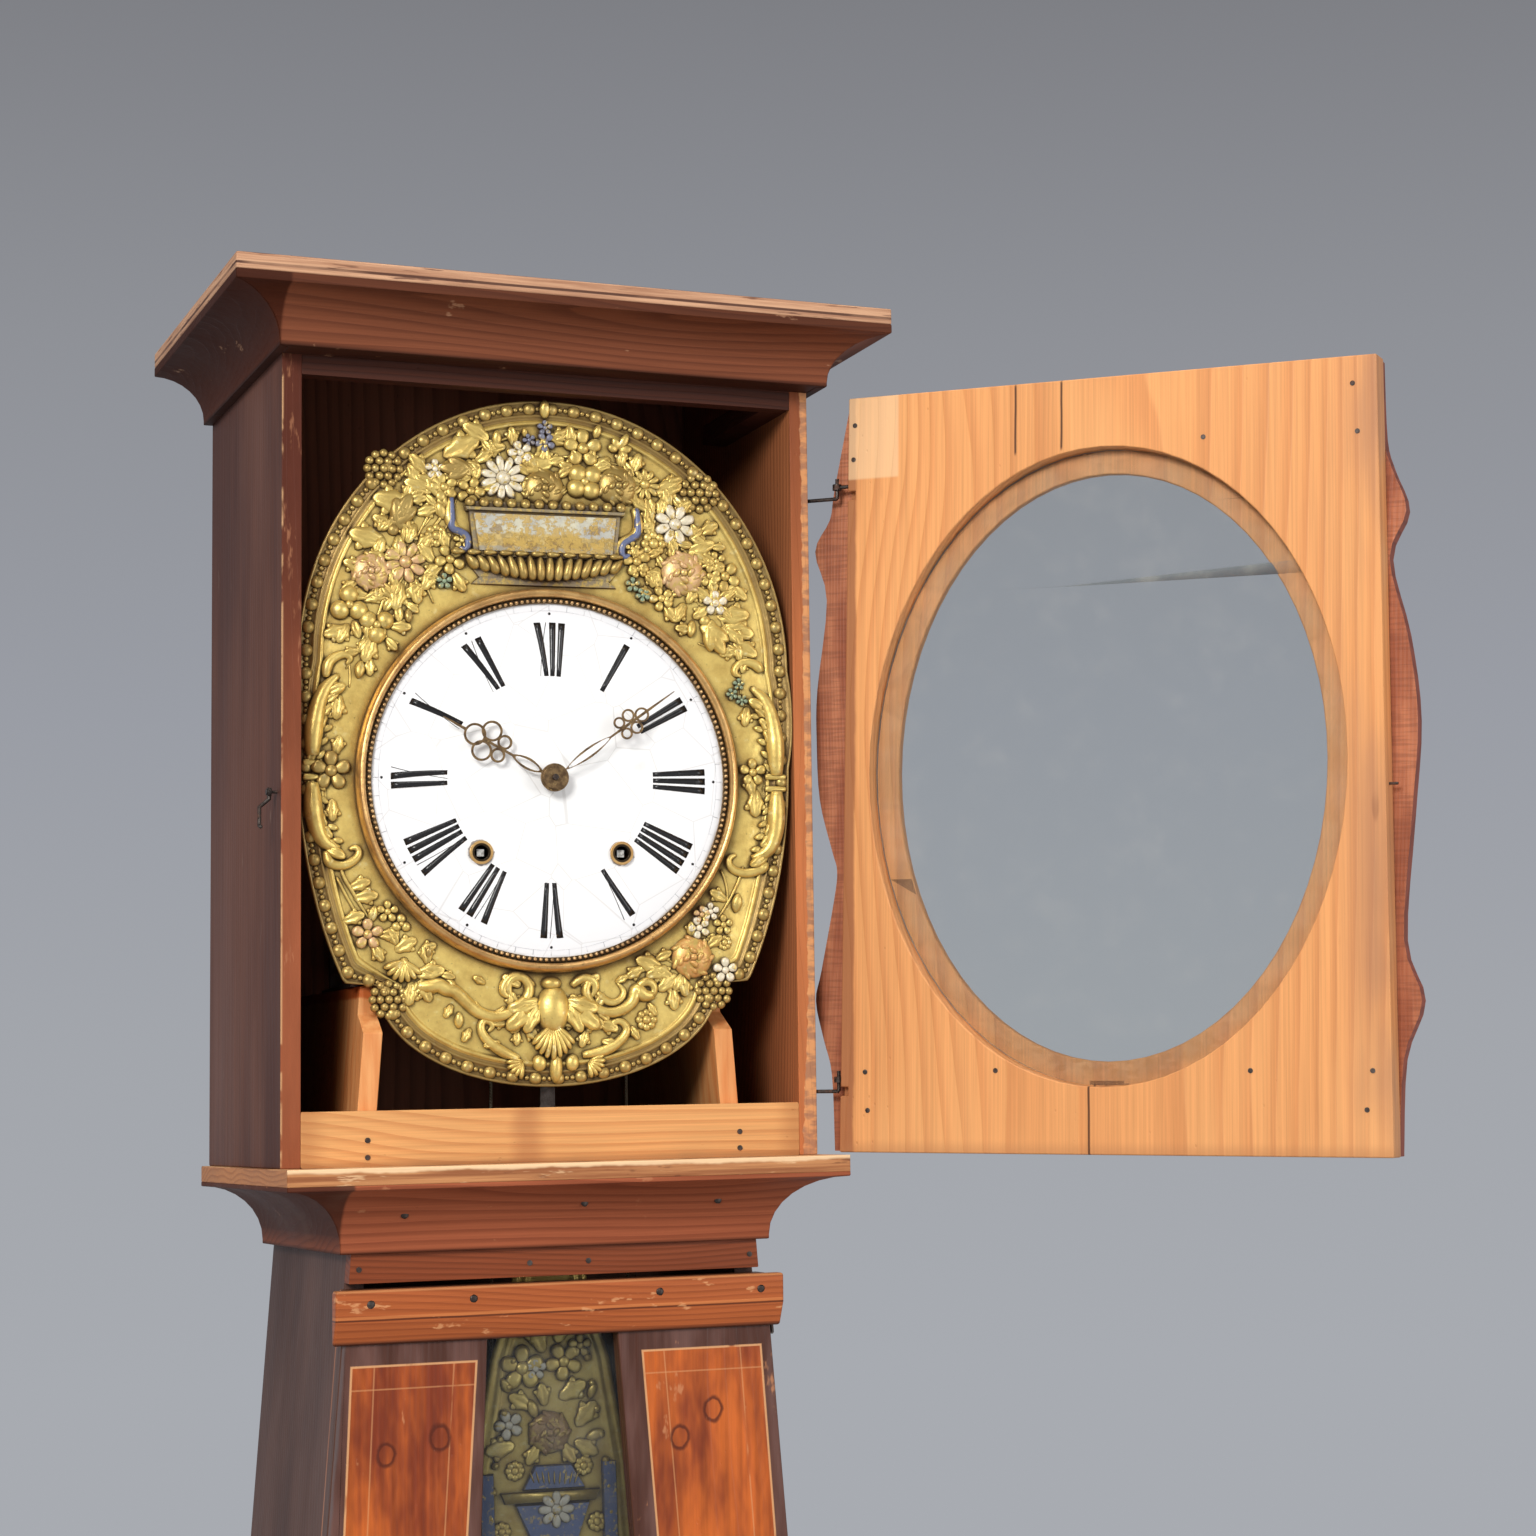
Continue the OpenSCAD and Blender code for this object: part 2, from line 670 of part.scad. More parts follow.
module trunk_door_moulding() {
  over = trunk_half(trunk_door_top) + trunk_door_over + 8.8;
  z0 = trunk_door_top - door_mould_h;
  color(pine) sideways(-over, over) polygon([[trunk_door_out, z0], [trunk_door_out - 3, z0],
    [trunk_door_out - door_mould_t, z0 + door_mould_h*0.45],
    [trunk_door_out - door_mould_t, trunk_door_top], [trunk_door_out, trunk_door_top]]);
}

module trunk_door_glass() {
  y = trunk_door_in - window_rebate;
  color(pale_glass) upright(y, y + glass_t) window(7);
}

module trunk_door_irons() {
  color(iron) for (z = trunk_hinges) difference() {
    on_trunk_axis(z) union() {
      translate([0, 0, -eye_h/2]) cylinder(h = eye_h, r = eye_r);
      rotate([0, -90, 0]) cylinder(h = trunk_pin_gap + 2, r = pin_r);
    }
    on_trunk_axis(z) translate([0, 0, -eye_h]) cylinder(h = 2*eye_h, r = pin_r + run_fit);
    upright(trunk_door_out, trunk_door_in) polygon([
      [trunk_half(z - 50) + trunk_door_over, z - 50], [trunk_half(z + 50) + trunk_door_over, z + 50],
      [0, z + 50], [0, z - 50]]);
  }
}

// Turned knob on the door, with an iron tongue behind it that hangs down when unlocked
button_shaft = 3;
module turn_button() {
  at = [button_in - trunk_half(button_z), button_z];
  color(brass) {
    rod(at, trunk_door_out - 3, trunk_door_out - 0.1, 8);
    rod(at, trunk_door_out - 12, trunk_door_out - 3, 4);
    translate([at[0], trunk_door_out - 18, at[1]]) sphere(r = 10);
    rod(at, trunk_door_out - 3, tongue_y + tongue_t, button_shaft);
    upright(tongue_y, tongue_y + tongue_t) translate([at[0] - 4, at[1] - tongue_len])
      square([8, tongue_len + 4]);
  }
}

// Face and movement, drawn in their own frame: x to the right, y backwards, z up, the origin on
// the hands' axis in the plane of the dial's edge

cage_drop = 137.5;
face_x = 0.3;
face_y = front_y + 15;
dial_z = cheek_z + cage_drop;
module in_movement() {
  translate([face_x, face_y, dial_z]) rotate([0, 0, -turn]) children();
}

dial_flange = 4;
dial_t = 3;
function dome(r) = dial_dome*(1 - pow(r/dial_r, 2));
module dial() {
  seat = dial_r + dial_flange - 12;
  color([0.96, 0.95, 0.92]) in_movement() difference() {
    rotate([90, 0, 0]) rotate_extrude($fn = 96) polygon(concat(
      [for (i = [0 : 12]) let(r = 5 + (dial_r - 5)*i/12) [r, dome(r)]],
      [[dial_r + dial_flange, 0], [dial_r + dial_flange, -dial_t], [seat, -dial_t]],
      [for (i = [0 : 10]) let(r = seat - (seat - 5)*i/10) [r, dome(r) - dial_t]]));
    for (s = [-1, 1]) rod([s*arbor_x, -arbor_z], -20, 10, 6.6);
  }
}

bezel_h = 8;
bead_w = 3.5;
hole_r = 4.8;
module bezel() {
  mid = (dial_r + bead_w + bezel_r)/2;
  half = (bezel_r - dial_r - bead_w)/2;
  edge = dial_r + dial_flange + 0.2;
  y = dome(norm([arbor_x, arbor_z]));
  color(brass) in_movement() {
    rotate([90, 0, 0]) rotate_extrude($fn = 96) polygon(concat(
      [[dial_r - 0.2, 0], [edge, 0], [edge, -dial_t], [bezel_r, -dial_t]],
      arc([mid, 1], half, bezel_h - 1, 0, 180, 10),
      [[dial_r + bead_w - 0.2, 2.6], [dial_r - 0.2, 2.2]]));
    for (s = [-1, 1]) difference() {
      union() {
        rod([s*arbor_x, -arbor_z], -y - 2.2, -y + 3.5, 6.4);
        rod([s*arbor_x, -arbor_z], -y - 2.2, -y - 0.5, 7.9);
      }
      rod([s*arbor_x, -arbor_z], -20, 20, hole_r);
    }
  }
}

// Outline of the stamped surround, drawn in by d all round
surround_a = hood_in - surround_gap;
// Widening of the stamped shapes with the surround, drawn for one 335 mm wide
widen = surround_a/167.5;
arch_h = 182;
arch_z = 78;
side_b = 254;
side_z = 10;
step_z = -136;
apron_a = 116*widen;
apron_b = 69;
function side_x(z) = surround_a*sqrt(1 - pow((z - side_z)/side_b, 2));
function surround_outline(d) = concat(
  arc([0, arch_z], surround_a - d, arch_h - d, 0, 180, 40),
  [for (i = [0 : 7]) let(z = side_z + (step_z + d - side_z)*i/7) [d - side_x(z), z]],
  arc([0, step_z - 1], apron_a - d, apron_b - d, 180, 360, 32),
  [for (i = [7 : -1 : 0]) let(z = side_z + (step_z + d - side_z)*i/7) [side_x(z) - d, z]]);
sheet_y = 3;
sheet_t = 1.5;
rim_w = 9;
// Raised flowers: place, radius and height above the sheet
flowers = [[-110, 134, 17, 5], [-84, 165, 14, 5], [-39, 180, 16, 7], [0, 176, 19, 8], [31, 182, 17, 7],
  [58, 177, 18, 7], [96, 151, 16, 6], [103, 115, 17, 6], [132, 88, 14, 4], [-130, 95, 16, 4],
  [-71, 122, 16, 5], [-106, -100, 16, 5], [108, -102, 16, 5], [-142, -5, 14, 4], [0, 228, 16, 6]];
module surround() {
  color([0.76, 0.6, 0.26]) in_movement() {
    difference() {
      union() {
        upright(sheet_y, sheet_y + sheet_t) polygon(surround_outline(0));
        upright(0.5, sheet_y) difference() {
          polygon(surround_outline(1));
          polygon(surround_outline(rim_w));
        }
        for (f = flowers) rod([widen*f[0], f[1]], sheet_y - f[3], sheet_y, f[2]);
        upright(-7, sheet_y) scale([widen, 1]) urn();
        rod([0, -150], -5, sheet_y, 16);
        rod([0, -172], -5, sheet_y, 17);
      }
      rod([0, 0], sheet_y - 20, sheet_y + 20, dial_r + dial_flange - 12);
      rod([0, 0], sheet_y - 30, sheet_y, bezel_r + fit);
    }
    for (s = [-1, 1], z = [40, -100])
      rod([s*(cage_w/2 - 8), z], sheet_y + sheet_t, cage_front + 4, 4);
  }
}

module urn() {
  polygon([[-34, 138], [30, 138], [52, 150], [48, 158], [44, 160], [48, 186], [-50, 186], [-46, 160],
    [-50, 158], [-55, 150]]);
}

// Iron cage

cage_front = 22;
cage_t = 3;
frame_rim = 30;
front_rim = 23;
back_rim = 20;
pillar = 8;
bar_t = 4;
front_bar_y = cage_front + pillar;
back_bar_y = front_bar_y + cage_d - pillar - bar_t;
cage_top = cage_h - cage_drop;
module cage() {
  half = cage_w/2;
  back = cage_front + cage_d + pillar;
  color(iron) in_movement() {
    difference() {
      board(-half, half, cage_front, back, -cage_drop, -cage_drop + cage_t);
      board(frame_rim - half, half - frame_rim, cage_front + front_rim, back - back_rim,
        -cage_drop - cut, -cage_drop + cage_t + cut);
    }
    board(-half, half, cage_front, back, cage_top - cage_t, cage_top);
    for (s = [-1, 1], y = [cage_front + pillar/2, back - 3*pillar/2])
      board(s*(half - pillar) - pillar/2, s*(half - pillar) + pillar/2, y, y + pillar,
        -cage_drop, cage_top);
    // Lugs of the hammer, joined by their pin
    for (y = [hammer_y - lug_out, hammer_y + lug_out - lug_t])
      board(hammer_x - lug_w/2, hammer_x + lug_w/2, y, y + lug_t, cage_top, cage_top + lug_h);
    rod([hammer_x, cage_top + hammer_lift], hammer_y - lug_out, hammer_y + lug_out, hammer_pin_r);
    translate([bell_x, bell_y, cage_top]) cylinder(h = bell_lift + bell_h + stud_over, r = bell_stud_r);
  }
}

bell_x = 0;
bell_y = 90;
bell_r = 60;
bell_h = 40;
bell_lift = 36;
bell_t = 3;
bell_stud_r = 3;
stud_over = 8;
lug_out = 10;
lug_t = 3;
lug_w = 10;
lug_h = 18;
hammer_lift = 12;
module bell() {
  color([0.6, 0.52, 0.3]) in_movement() translate([bell_x, bell_y, cage_top + bell_lift])
    rotate_extrude($fn = 72) polygon(concat(
      [[bell_r, 0]], arc([0, 4], bell_r - 2, bell_h - 4, 0, 87, 14),
      [[bell_stud_r + run_fit, bell_h], [bell_stud_r + run_fit, bell_h - bell_t]],
      arc([0, 4], bell_r - 2 - bell_t, bell_h - 4 - bell_t, 86, 0, 14), [[bell_r - bell_t, 0]]));
}

hammer_x = -75;
hammer_y = 90;
hammer_pin_r = 1.5;
hammer_eye = 6.5;
module hammer() {
  z = cage_top + hammer_lift;
  strike_z = cage_top + bell_lift + 5;
  color(iron) in_movement() difference() {
    union() {
      rod([hammer_x, z], hammer_y - hammer_eye, hammer_y + hammer_eye, 4);
      board(hammer_x - 1.5, hammer_x + 1.5, hammer_y - 3, hammer_y + 3, z, strike_z);
      translate([hammer_x - 4, hammer_y, strike_z]) rotate([0, 90, 0])
        cylinder(h = bell_x - bell_r - 1 - hammer_x + 4, r = 5);
    }
    rod([hammer_x, z], hammer_y - 20, hammer_y + 20, hammer_pin_r + run_fit);
  }
}

// Where the arbors of the two trains stand, each wheel meshed with the next one's pinion

great_at = [arbor_x, -arbor_z];
second_at = great_at + great_m*(great_n + leaf_n)/2*[cos(102.55), sin(102.55)];
third_at = second_at + second_m*(second_n + leaf_n)/2*[cos(115.15), sin(115.15)];
escape_at = [0, third_at[1] + sqrt(pow(third_m*(third_n + leaf_n)/2, 2) - pow(third_at[0], 2))];
pallet_at = [0, escape_at[1] + 32.4];
strike_at = [-arbor_x, -arbor_z];
pin_at = strike_at + great_m*(great_n + leaf_n)/2*[cos(77.45), sin(77.45)];
locking_at = pin_at + second_m*(second_n + leaf_n)/2*[cos(105.2), sin(105.2)];
fly_at = locking_at + locking_m*(locking_n + leaf_n)/2*[cos(75.5), sin(75.5)];

// Angle at which a driven wheel's tooth stands, to mesh with a driver's tooth at angle a
function mesh(from, to, n1, n2, a) =
  let(line = atan2(to[1] - from[1], to[0] - from[0]), past = (line - a)*n1/360)
  line + 180 - (0.5 - past)*360/n2;

// Toothed outline: n teeth of module m with one tooth's middle at angle a. Root and tip lie foot
// and head modules from the pitch circle, and w and v are half a tooth's width there, as shares
// of the pitch
module teeth(n, m, a, foot = 1.25, head = 0.9, w = 0.25, v = 0.09) {
  polygon([for (i = [0 : n - 1], k = [0 : 3]) let(t = a + (i + [-w, -v, v, w][k])*360/n,
    r = m*n/2 + m*(k == 0 || k == 3 ? -foot : head)) r*[cos(t), sin(t)]]);
}

// Leaves of a pinion, thinner than a wheel's teeth
module leaves(n, m, a) {
  teeth(n, m, a, 1.3, 0.7, 0.2, 0.1);
}

// Openings between a wheel's arms, from radius r0 to r1
module crossings(r0, r1, arms = 4, arm = 6) {
  for (i = [0 : arms - 1]) rotate(i*360/arms + 20) {
    a0 = asin(arm/2/r0);
    a1 = asin(arm/2/r1);
    polygon(concat(arc([0, 0], r1, r1, a1, 360/arms - a1, 8),
      arc([0, 0], r0, r0, 360/arms - a0, a0, 4)));
  }
}

// Planes of the wheels, front faces, and thickness of wheels and pinions
second_plane = 40;
great_pinion_plane = 48;
third_plane = 62;
escape_plane = 74;
wheel_t = 3;
pinion_t = 7;
pivot_r = 1;
arbor_r = 2;
winding_r = 3.5;
drive_r = 1.5;
stud_r = 2;
shake = 0.3;
// Thin arbor of the escape wheel and the fly, whose pinions are small
thin_r = 1.5;
module arbor(at, r = arbor_r) {
  rod(at, front_bar_y + bar_t + shake, back_bar_y - shake, r);
  rod(at, front_bar_y, back_bar_y + bar_t, pivot_r);
}

module wheel(at, y0, y1, n, m, a, hub) {
  upright(y0, y1) translate(at) difference() {
    teeth(n, m, a);
    crossings(hub, m*n/2 - 3.2*max(m, 0.8));
  }
}

module pinion(at, y0, y1, n, m, a) {
  upright(y0, y1) translate(at) leaves(n, m, a);
}

// Upright bars with the arbors' pivot holes, and the studs of the hands and the minute wheel
module bars(y, front) {
  difference() {
    for (b = [[-58, -16], [-11, 11], [16, 58]])
      board(b[0], b[1], y, y + bar_t, cage_t - cage_drop, cage_top - cage_t);
    for (p = [third_at, escape_at, pin_at, locking_at, fly_at])
      rod(p, y - cut, y + bar_t + cut, pivot_r + run_fit);
    for (p = [great_at, strike_at])
      rod(p, y - cut, y + bar_t + cut, (front ? winding_r : drive_r) + run_fit);
    rod(second_at, y - cut, y + bar_t + cut, (front ? drive_r : pivot_r) + run_fit);
    rod(pallet_at, y - cut, y + bar_t + cut, (front ? arbor_r : pivot_r) + run_fit);
  }
}

minute_wheel_at = [0, -18];
hand_y = -15;
module arbor_bars() {
  color(iron) in_movement() {
    bars(front_bar_y, true);
    bars(back_bar_y, false);
    rod([0, 0], hand_y - 5, front_bar_y, stud_r);
    rod(minute_wheel_at, front_bar_y - 10, front_bar_y, drive_r);
  }
}

// Barrel with its drum, ratchet wheel and winding square
drum_y = 60;
drum_w = 50;
drum_r = line_turn_r - line_r - 0.1;
square_y = -1.5;
ratchet_n = 18;
module barrel(at) {
  rod(at, front_bar_y - 2, back_bar_y - shake, winding_r);
  rod(at, back_bar_y - shake, back_bar_y + bar_t, drive_r);
  translate([at[0] - 2.45, square_y, at[1] - 2.45]) cube([4.9, front_bar_y - 2 - square_y, 4.9]);
  rod(at, drum_y, drum_y + drum_w, drum_r);
  rod(at, drum_y - 2, drum_y, drum_r + 4.6);
  rod(at, drum_y + drum_w, drum_y + drum_w + 2, drum_r + 4.6);
  rod(at, great_y - 3.3, great_y - shake, 6);
  rod(at, great_y + great_t + shake, drum_y - 5, 6);
  upright(drum_y - 5, drum_y - 2) translate(at) polygon([for (i = [0 : ratchet_n - 1], k = [0, 1])
    (k == 0 ? 14 : 11.5)*[cos((i + 0.12*k)*360/ratchet_n), sin((i + 0.12*k)*360/ratchet_n)]]);
}

great_y = 50;
great_t = 4;
// Great wheel on its barrel's arbor, with the click that holds the ratchet wheel
module great_wheel(at) {
  difference() {
    union() {
      upright(great_y, great_y + great_t) translate(at) difference() {
        teeth(great_n, great_m, 0);
        crossings(24, great_m*great_n/2 - 5);
      }
      upright(great_y + great_t, great_y + great_t + 3) translate(at) rotate(60)
        polygon([[14.6, -1], [14.6, 1], [22, 5], [22, -5]]);
    }
    rod(at, great_y - cut, great_y + great_t + cut, winding_r + run_fit);
  }
}

module going_barrel() {
  color(brass) in_movement() barrel(great_at);
}

module strike_barrel() {
  color(brass) in_movement() barrel(strike_at);
}

module going_great_wheel() {
  color(brass) in_movement() great_wheel(great_at);
}

module strike_great_wheel() {
  color(brass) in_movement() great_wheel(strike_at);
}

// Wheel that the second arbor carries in front of the bars, to drive the hands
drive_n = 56;
cannon_n = 28;
drive_m = 2*norm(second_at)/(drive_n + cannon_n);
drive_y = front_bar_y - 3;
second_a = mesh(great_at, second_at, great_n, leaf_n, 0);
module second_wheel() {
  color(brass) in_movement() {
    arbor(second_at);
    rod(second_at, drive_y, front_bar_y + bar_t + shake, drive_r);
    upright(drive_y, drive_y + 2.5) translate(second_at) difference() {
      teeth(drive_n, drive_m, 0);
      crossings(7, drive_m*drive_n/2 - 4, 4, 4);
    }
    pinion(second_at, great_pinion_plane, great_pinion_plane + pinion_t, leaf_n, great_m, second_a);
    wheel(second_at, second_plane, second_plane + wheel_t, second_n, second_m, 0, 8);
  }
}

module third_wheel() {
  color(brass) in_movement() {
    arbor(third_at);
    pinion(third_at, second_plane - 2, second_plane - 2 + pinion_t, leaf_n, second_m,
      mesh(second_at, third_at, second_n, leaf_n, 0));
    wheel(third_at, third_plane, third_plane + wheel_t, third_n, third_m, 0, 7);
  }
}

escape_r = 22;
module escape_wheel() {
  color(brass) in_movement() {
    arbor(escape_at, thin_r);
    pinion(escape_at, third_plane - 2, third_plane - 2 + pinion_t, leaf_n, third_m,
      mesh(third_at, escape_at, third_n, leaf_n, 0));
    upright(escape_plane, escape_plane + 2) translate(escape_at) difference() {
      polygon([for (i = [0 : escape_n - 1], k = [0 : 2]) [escape_r, escape_r - 0.2, escape_r - 3.5][k]
        *[cos((i + [0, 0.12, 0.5][k])*360/escape_n), sin((i + [0, 0.12, 0.5][k])*360/escape_n)]]);
      crossings(6, escape_r - 6.5, 4, 3.5);
    }
  }
}

// Anchor, with the crutch that leads the pendulum
rod_w = 10;
rod_t = 2.5;
rod_y0 = 14.2;
crutch_z = pallet_at[1] - 24;
module anchor() {
  reach = 18;
  down = pallet_at[1] - 15.5;
  color(iron) in_movement() {
    arbor(pallet_at);
    rod(pallet_at, rod_y0 + rod_t + 3.3, front_bar_y + bar_t + shake, arbor_r);
    upright(escape_plane, escape_plane + 2.5) {
      translate(pallet_at) circle(r = 5);
      both_sides() polygon([[0, pallet_at[1] + 4], [reach + 3, down + 5], [reach + 3, down],
        [reach - 1, down - 1.5], [reach - 1, down + 2], [2, pallet_at[1] - 4], [0, pallet_at[1] - 4]]);
    }
    upright(rod_y0 + rod_t + 2.3, rod_y0 + rod_t + 4.3) {
      translate(pallet_at) circle(r = 4);
      translate([-2, crutch_z]) square([4, pallet_at[1] - crutch_z]);
      translate([-8.5, crutch_z - 3]) square([17, 6]);
    }
    for (s = [-1, 1])
      rod([s*(rod_w/2 + 0.4 + 1.2), crutch_z], rod_y0 - 1, rod_y0 + rod_t + 3, 1.2);
  }
}

suspension_r = 1.2;
module suspension_cock() {
  y = rod_y0 - 2.2;
  color(iron) in_movement() {
    board(-5, 5, y - 2.5, front_bar_y, pallet_at[1] + 12, pallet_at[1] + 20);
    board(-5, 5, y - 2.5, y, pallet_at[1] - 5, pallet_at[1] + 20);
    rod(pallet_at, y, rod_y0 + rod_t + 0.8, suspension_r);
  }
}

strike_a = mesh(strike_at, pin_at, great_n, leaf_n, 0);
module pin_wheel() {
  color(brass) in_movement() {
    arbor(pin_at);
    pinion(pin_at, great_pinion_plane, great_pinion_plane + pinion_t, leaf_n, great_m, strike_a);
    wheel(pin_at, second_plane, second_plane + wheel_t, second_n, second_m, 0, 8);
    for (i = [0 : 7])
      rod(pin_at + 25.5*[cos(i*45 + 10), sin(i*45 + 10)], second_plane + wheel_t,
        second_plane + wheel_t + 3.5, 1);
  }
}

module locking_wheel() {
  color(brass) in_movement() {
    arbor(locking_at);
    pinion(locking_at, second_plane - 2, second_plane - 2 + pinion_t, leaf_n, second_m,
      mesh(pin_at, locking_at, second_n, leaf_n, 0));
    wheel(locking_at, third_plane, third_plane + wheel_t, locking_n, locking_m, 0, 7);
  }
}

fly_r = 18;
fly_front = 80;
fly_back = 120;
module fly() {
  color(brass) in_movement() {
    arbor(fly_at, thin_r);
    pinion(fly_at, third_plane - 2, third_plane - 2 + pinion_t, leaf_n, locking_m,
      mesh(locking_at, fly_at, locking_n, leaf_n, 0));
    board(fly_at[0] - fly_r, fly_at[0] + fly_r, fly_front, fly_back, fly_at[1] - 0.8, fly_at[1] + 0.8);
    rod(fly_at, fly_front, fly_back, 3);
  }
}

// Hands and the wheels that turn them

cannon_r = 3.2;
hour_r = 4.4;
hand_t = 1.5;
minute_len = 102;
minute_turn = 54;
hour_len = 84;
hour_turn = -61.5;
cannon_pinion_n = 12;
minute_wheel_n = 36;
cannon_m = 0.75;
hour_pinion_n = 10;
hour_wheel_n = 40;
hour_m = 0.72;
cannon_y = drive_y - 3;
hour_y = cannon_y - 3;

module ring(x, z, r, w) {
  translate([x, z]) difference() {
    circle(r = r);
    circle(r = r - w);
  }
}

// Pointed loop between heights z0 and z1, half as wide as w at its middle
module lancet(z0, z1, w, t) {
  mid = (z0 + z1)/2;
  difference() {
    polygon(concat([[0, z0]], [for (i = [1 : 7]) [w/2*sin(i*22.5), z0 + (z1 - z0)*i/8]], [[0, z1]],
      [for (i = [7 : -1 : 1]) [-w/2*sin(i*22.5), z0 + (z1 - z0)*i/8]]));
    polygon([for (i = [0 : 15]) [(w/2 - t)*sin(i*22.5), mid - (z1 - z0 - 5*t)/2*cos(i*22.5)]]);
  }
}

module minute_hand() {
  color([0.45, 0.36, 0.24]) in_movement() {
    difference() {
      union() {
        upright(drive_y, drive_y + 2.5) teeth(cannon_n, drive_m, mesh(second_at, [0, 0], drive_n,
          cannon_n, 0));
        upright(cannon_y, cannon_y + 2.5) leaves(cannon_pinion_n, cannon_m, 0);
        rod([0, 0], hand_y, drive_y + 2.5, cannon_r);
        upright(hand_y - hand_t, hand_y) circle(r = 9.5);
        rod([0, 0], hand_y - 3, hand_y - hand_t, 8);
      }
      rod([0, 0], hand_y - 10, front_bar_y, stud_r + run_fit);
    }
    upright(hand_y - hand_t, hand_y) rotate(-minute_turn) {
      lancet(8, 50, 7, 1.4);
      translate([-0.7, 48]) square([1.4, 8]);
      for (s = [-1, 1]) {
        ring(s*4.4, 58, 4, 1.3);
        ring(s*5, 66, 4.4, 1.3);
      }
      ring(0, 74, 5, 1.3);
      polygon([[-0.9, 54], [0.9, 54], [0.9, 80], [0.3, minute_len], [-0.3, minute_len], [-0.9, 80]]);
    }
  }
}

minute_a = mesh([0, 0], minute_wheel_at, cannon_pinion_n, minute_wheel_n, 0);
module minute_wheel() {
  color(brass) in_movement() difference() {
    union() {
      upright(cannon_y, cannon_y + 2.5) translate(minute_wheel_at)
        teeth(minute_wheel_n, cannon_m, minute_a);
      upright(hour_y, hour_y + 3) translate(minute_wheel_at) leaves(hour_pinion_n, hour_m, 0);
    }
    rod(minute_wheel_at, hour_y - cut, front_bar_y, drive_r + run_fit);
  }
}

module hour_hand() {
  y = hand_y + 2.5;
  color([0.45, 0.36, 0.24]) in_movement() {
    difference() {
      union() {
        upright(hour_y, hour_y + 2.5) teeth(hour_wheel_n, hour_m,
          mesh(minute_wheel_at, [0, 0], hour_pinion_n, hour_wheel_n, 0));
        rod([0, 0], y, hour_y + 2.5, hour_r);
        upright(y, y + hand_t) circle(r = 8.5);
      }
      rod([0, 0], y - cut, hour_y + 10, cannon_r + run_fit);
    }
    upright(y, y + hand_t) rotate(-hour_turn) {
      lancet(7, 33, 8, 1.5);
      translate([-0.8, 31]) square([1.6, 22]);
      for (s = [-1, 1]) {
        ring(s*5, 40, 5, 1.5);
        ring(s*7.5, 51, 7, 1.5);
      }
      ring(0, 60, 7.5, 1.5);
      polygon([[-1, 66], [1, 66], [0.3, hour_len], [-0.3, hour_len]]);
    }
  }
}

// Pendulum: a flat iron rod that widens to a loop round the hands' arbor, and a stamped sheet

loop_in = 14;
loop_out = 20;
sheet_top = -325;
bob_z = pallet_at[1] - bob_drop;
module pendulum_rod() {
  color(iron) in_movement() difference() {
    upright(rod_y0, rod_y0 + rod_t) {
      translate(pallet_at) circle(r = 5);
      translate([-rod_w/2, loop_out - 2]) square([rod_w, pallet_at[1] - loop_out]);
      difference() {
        circle(r = loop_out + 2);
        circle(r = loop_in + 2);
      }
      translate([-rod_w/2, bob_z]) square([rod_w, -loop_out - bob_z + 1]);
    }
    rod(pallet_at, rod_y0 - cut, rod_y0 + rod_t + cut, suspension_r + run_fit);
  }
}

pend_sheet_t = 1.5;
// How far the bob and the stamped flowers stand in front of the sheet
bob_rise = 1.5;
flower_rise = 4.5;
module pendulum_sheet() {
  y = rod_y0 - pend_sheet_t;
  lyre = [[24, sheet_top], [27, -345], [40, -385], [46, -420], [52, -455], [58, -520], [50, -580],
    [60, -640], [72, -700], [70, -750]];
  color([0.6, 0.5, 0.26]) in_movement() {
    upright(y, rod_y0) {
      polygon(concat([for (p = smooth(lyre)) p], [for (p = smooth([for (i = [9 : -1 : 0]) lyre[i]]))
        [-p[0], p[1]]]));
      translate([0, bob_z]) circle(r = bob_r, $fn = 96);
      translate([-60, bob_z]) square([120, -745 - bob_z]);
    }
    translate([0, 0, bob_z]) rod([0, 0], y - bob_rise, y, bob_r - 6);
    translate([0, 0, bob_z]) rod([0, 0], y - flower_rise, y - bob_rise, bob_r - 45);
    for (p = [[0, -360], [0, -430], [0, -500], [0, -560], [0, -640], [0, -720]])
      rod(p, y - flower_rise, y, 20);
  }
}

// Weights on their lines, run down

line_y = drum_y + drum_w/2;
weight_foot = 310;
hook_h = 24;
line_foot = weight_foot + weight_h + hook_h;
module weight(x) {
  ring_r = 6;
  color([0.2, 0.2, 0.2]) in_movement() translate([x, line_y, weight_foot - dial_z]) {
    cylinder(h = weight_h, r = weight_r);
    translate([0, 0, weight_h]) cylinder(h = 6, r = 3);
    translate([0, 0, weight_h + 6 + ring_r]) rotate([90, 0, 0]) rotate_extrude()
      translate([ring_r, 0]) circle(r = 1.8);
    translate([0, 0, weight_h + 6 + 2*ring_r]) cylinder(h = hook_h - 6 - 2*ring_r, r = 2.4);
  }
}

module line(x) {
  color([0.6, 0.56, 0.48]) in_movement()
    translate([x, line_y, line_foot - dial_z]) cylinder(h = dial_z - arbor_z - line_foot, r = line_r);
}

going_line_x = arbor_x + line_turn_r;
strike_line_x = line_turn_r - arbor_x;
module going_weight() weight(going_line_x);

module strike_weight() weight(strike_line_x);

module going_line() line(going_line_x);

module strike_line() line(strike_line_x);

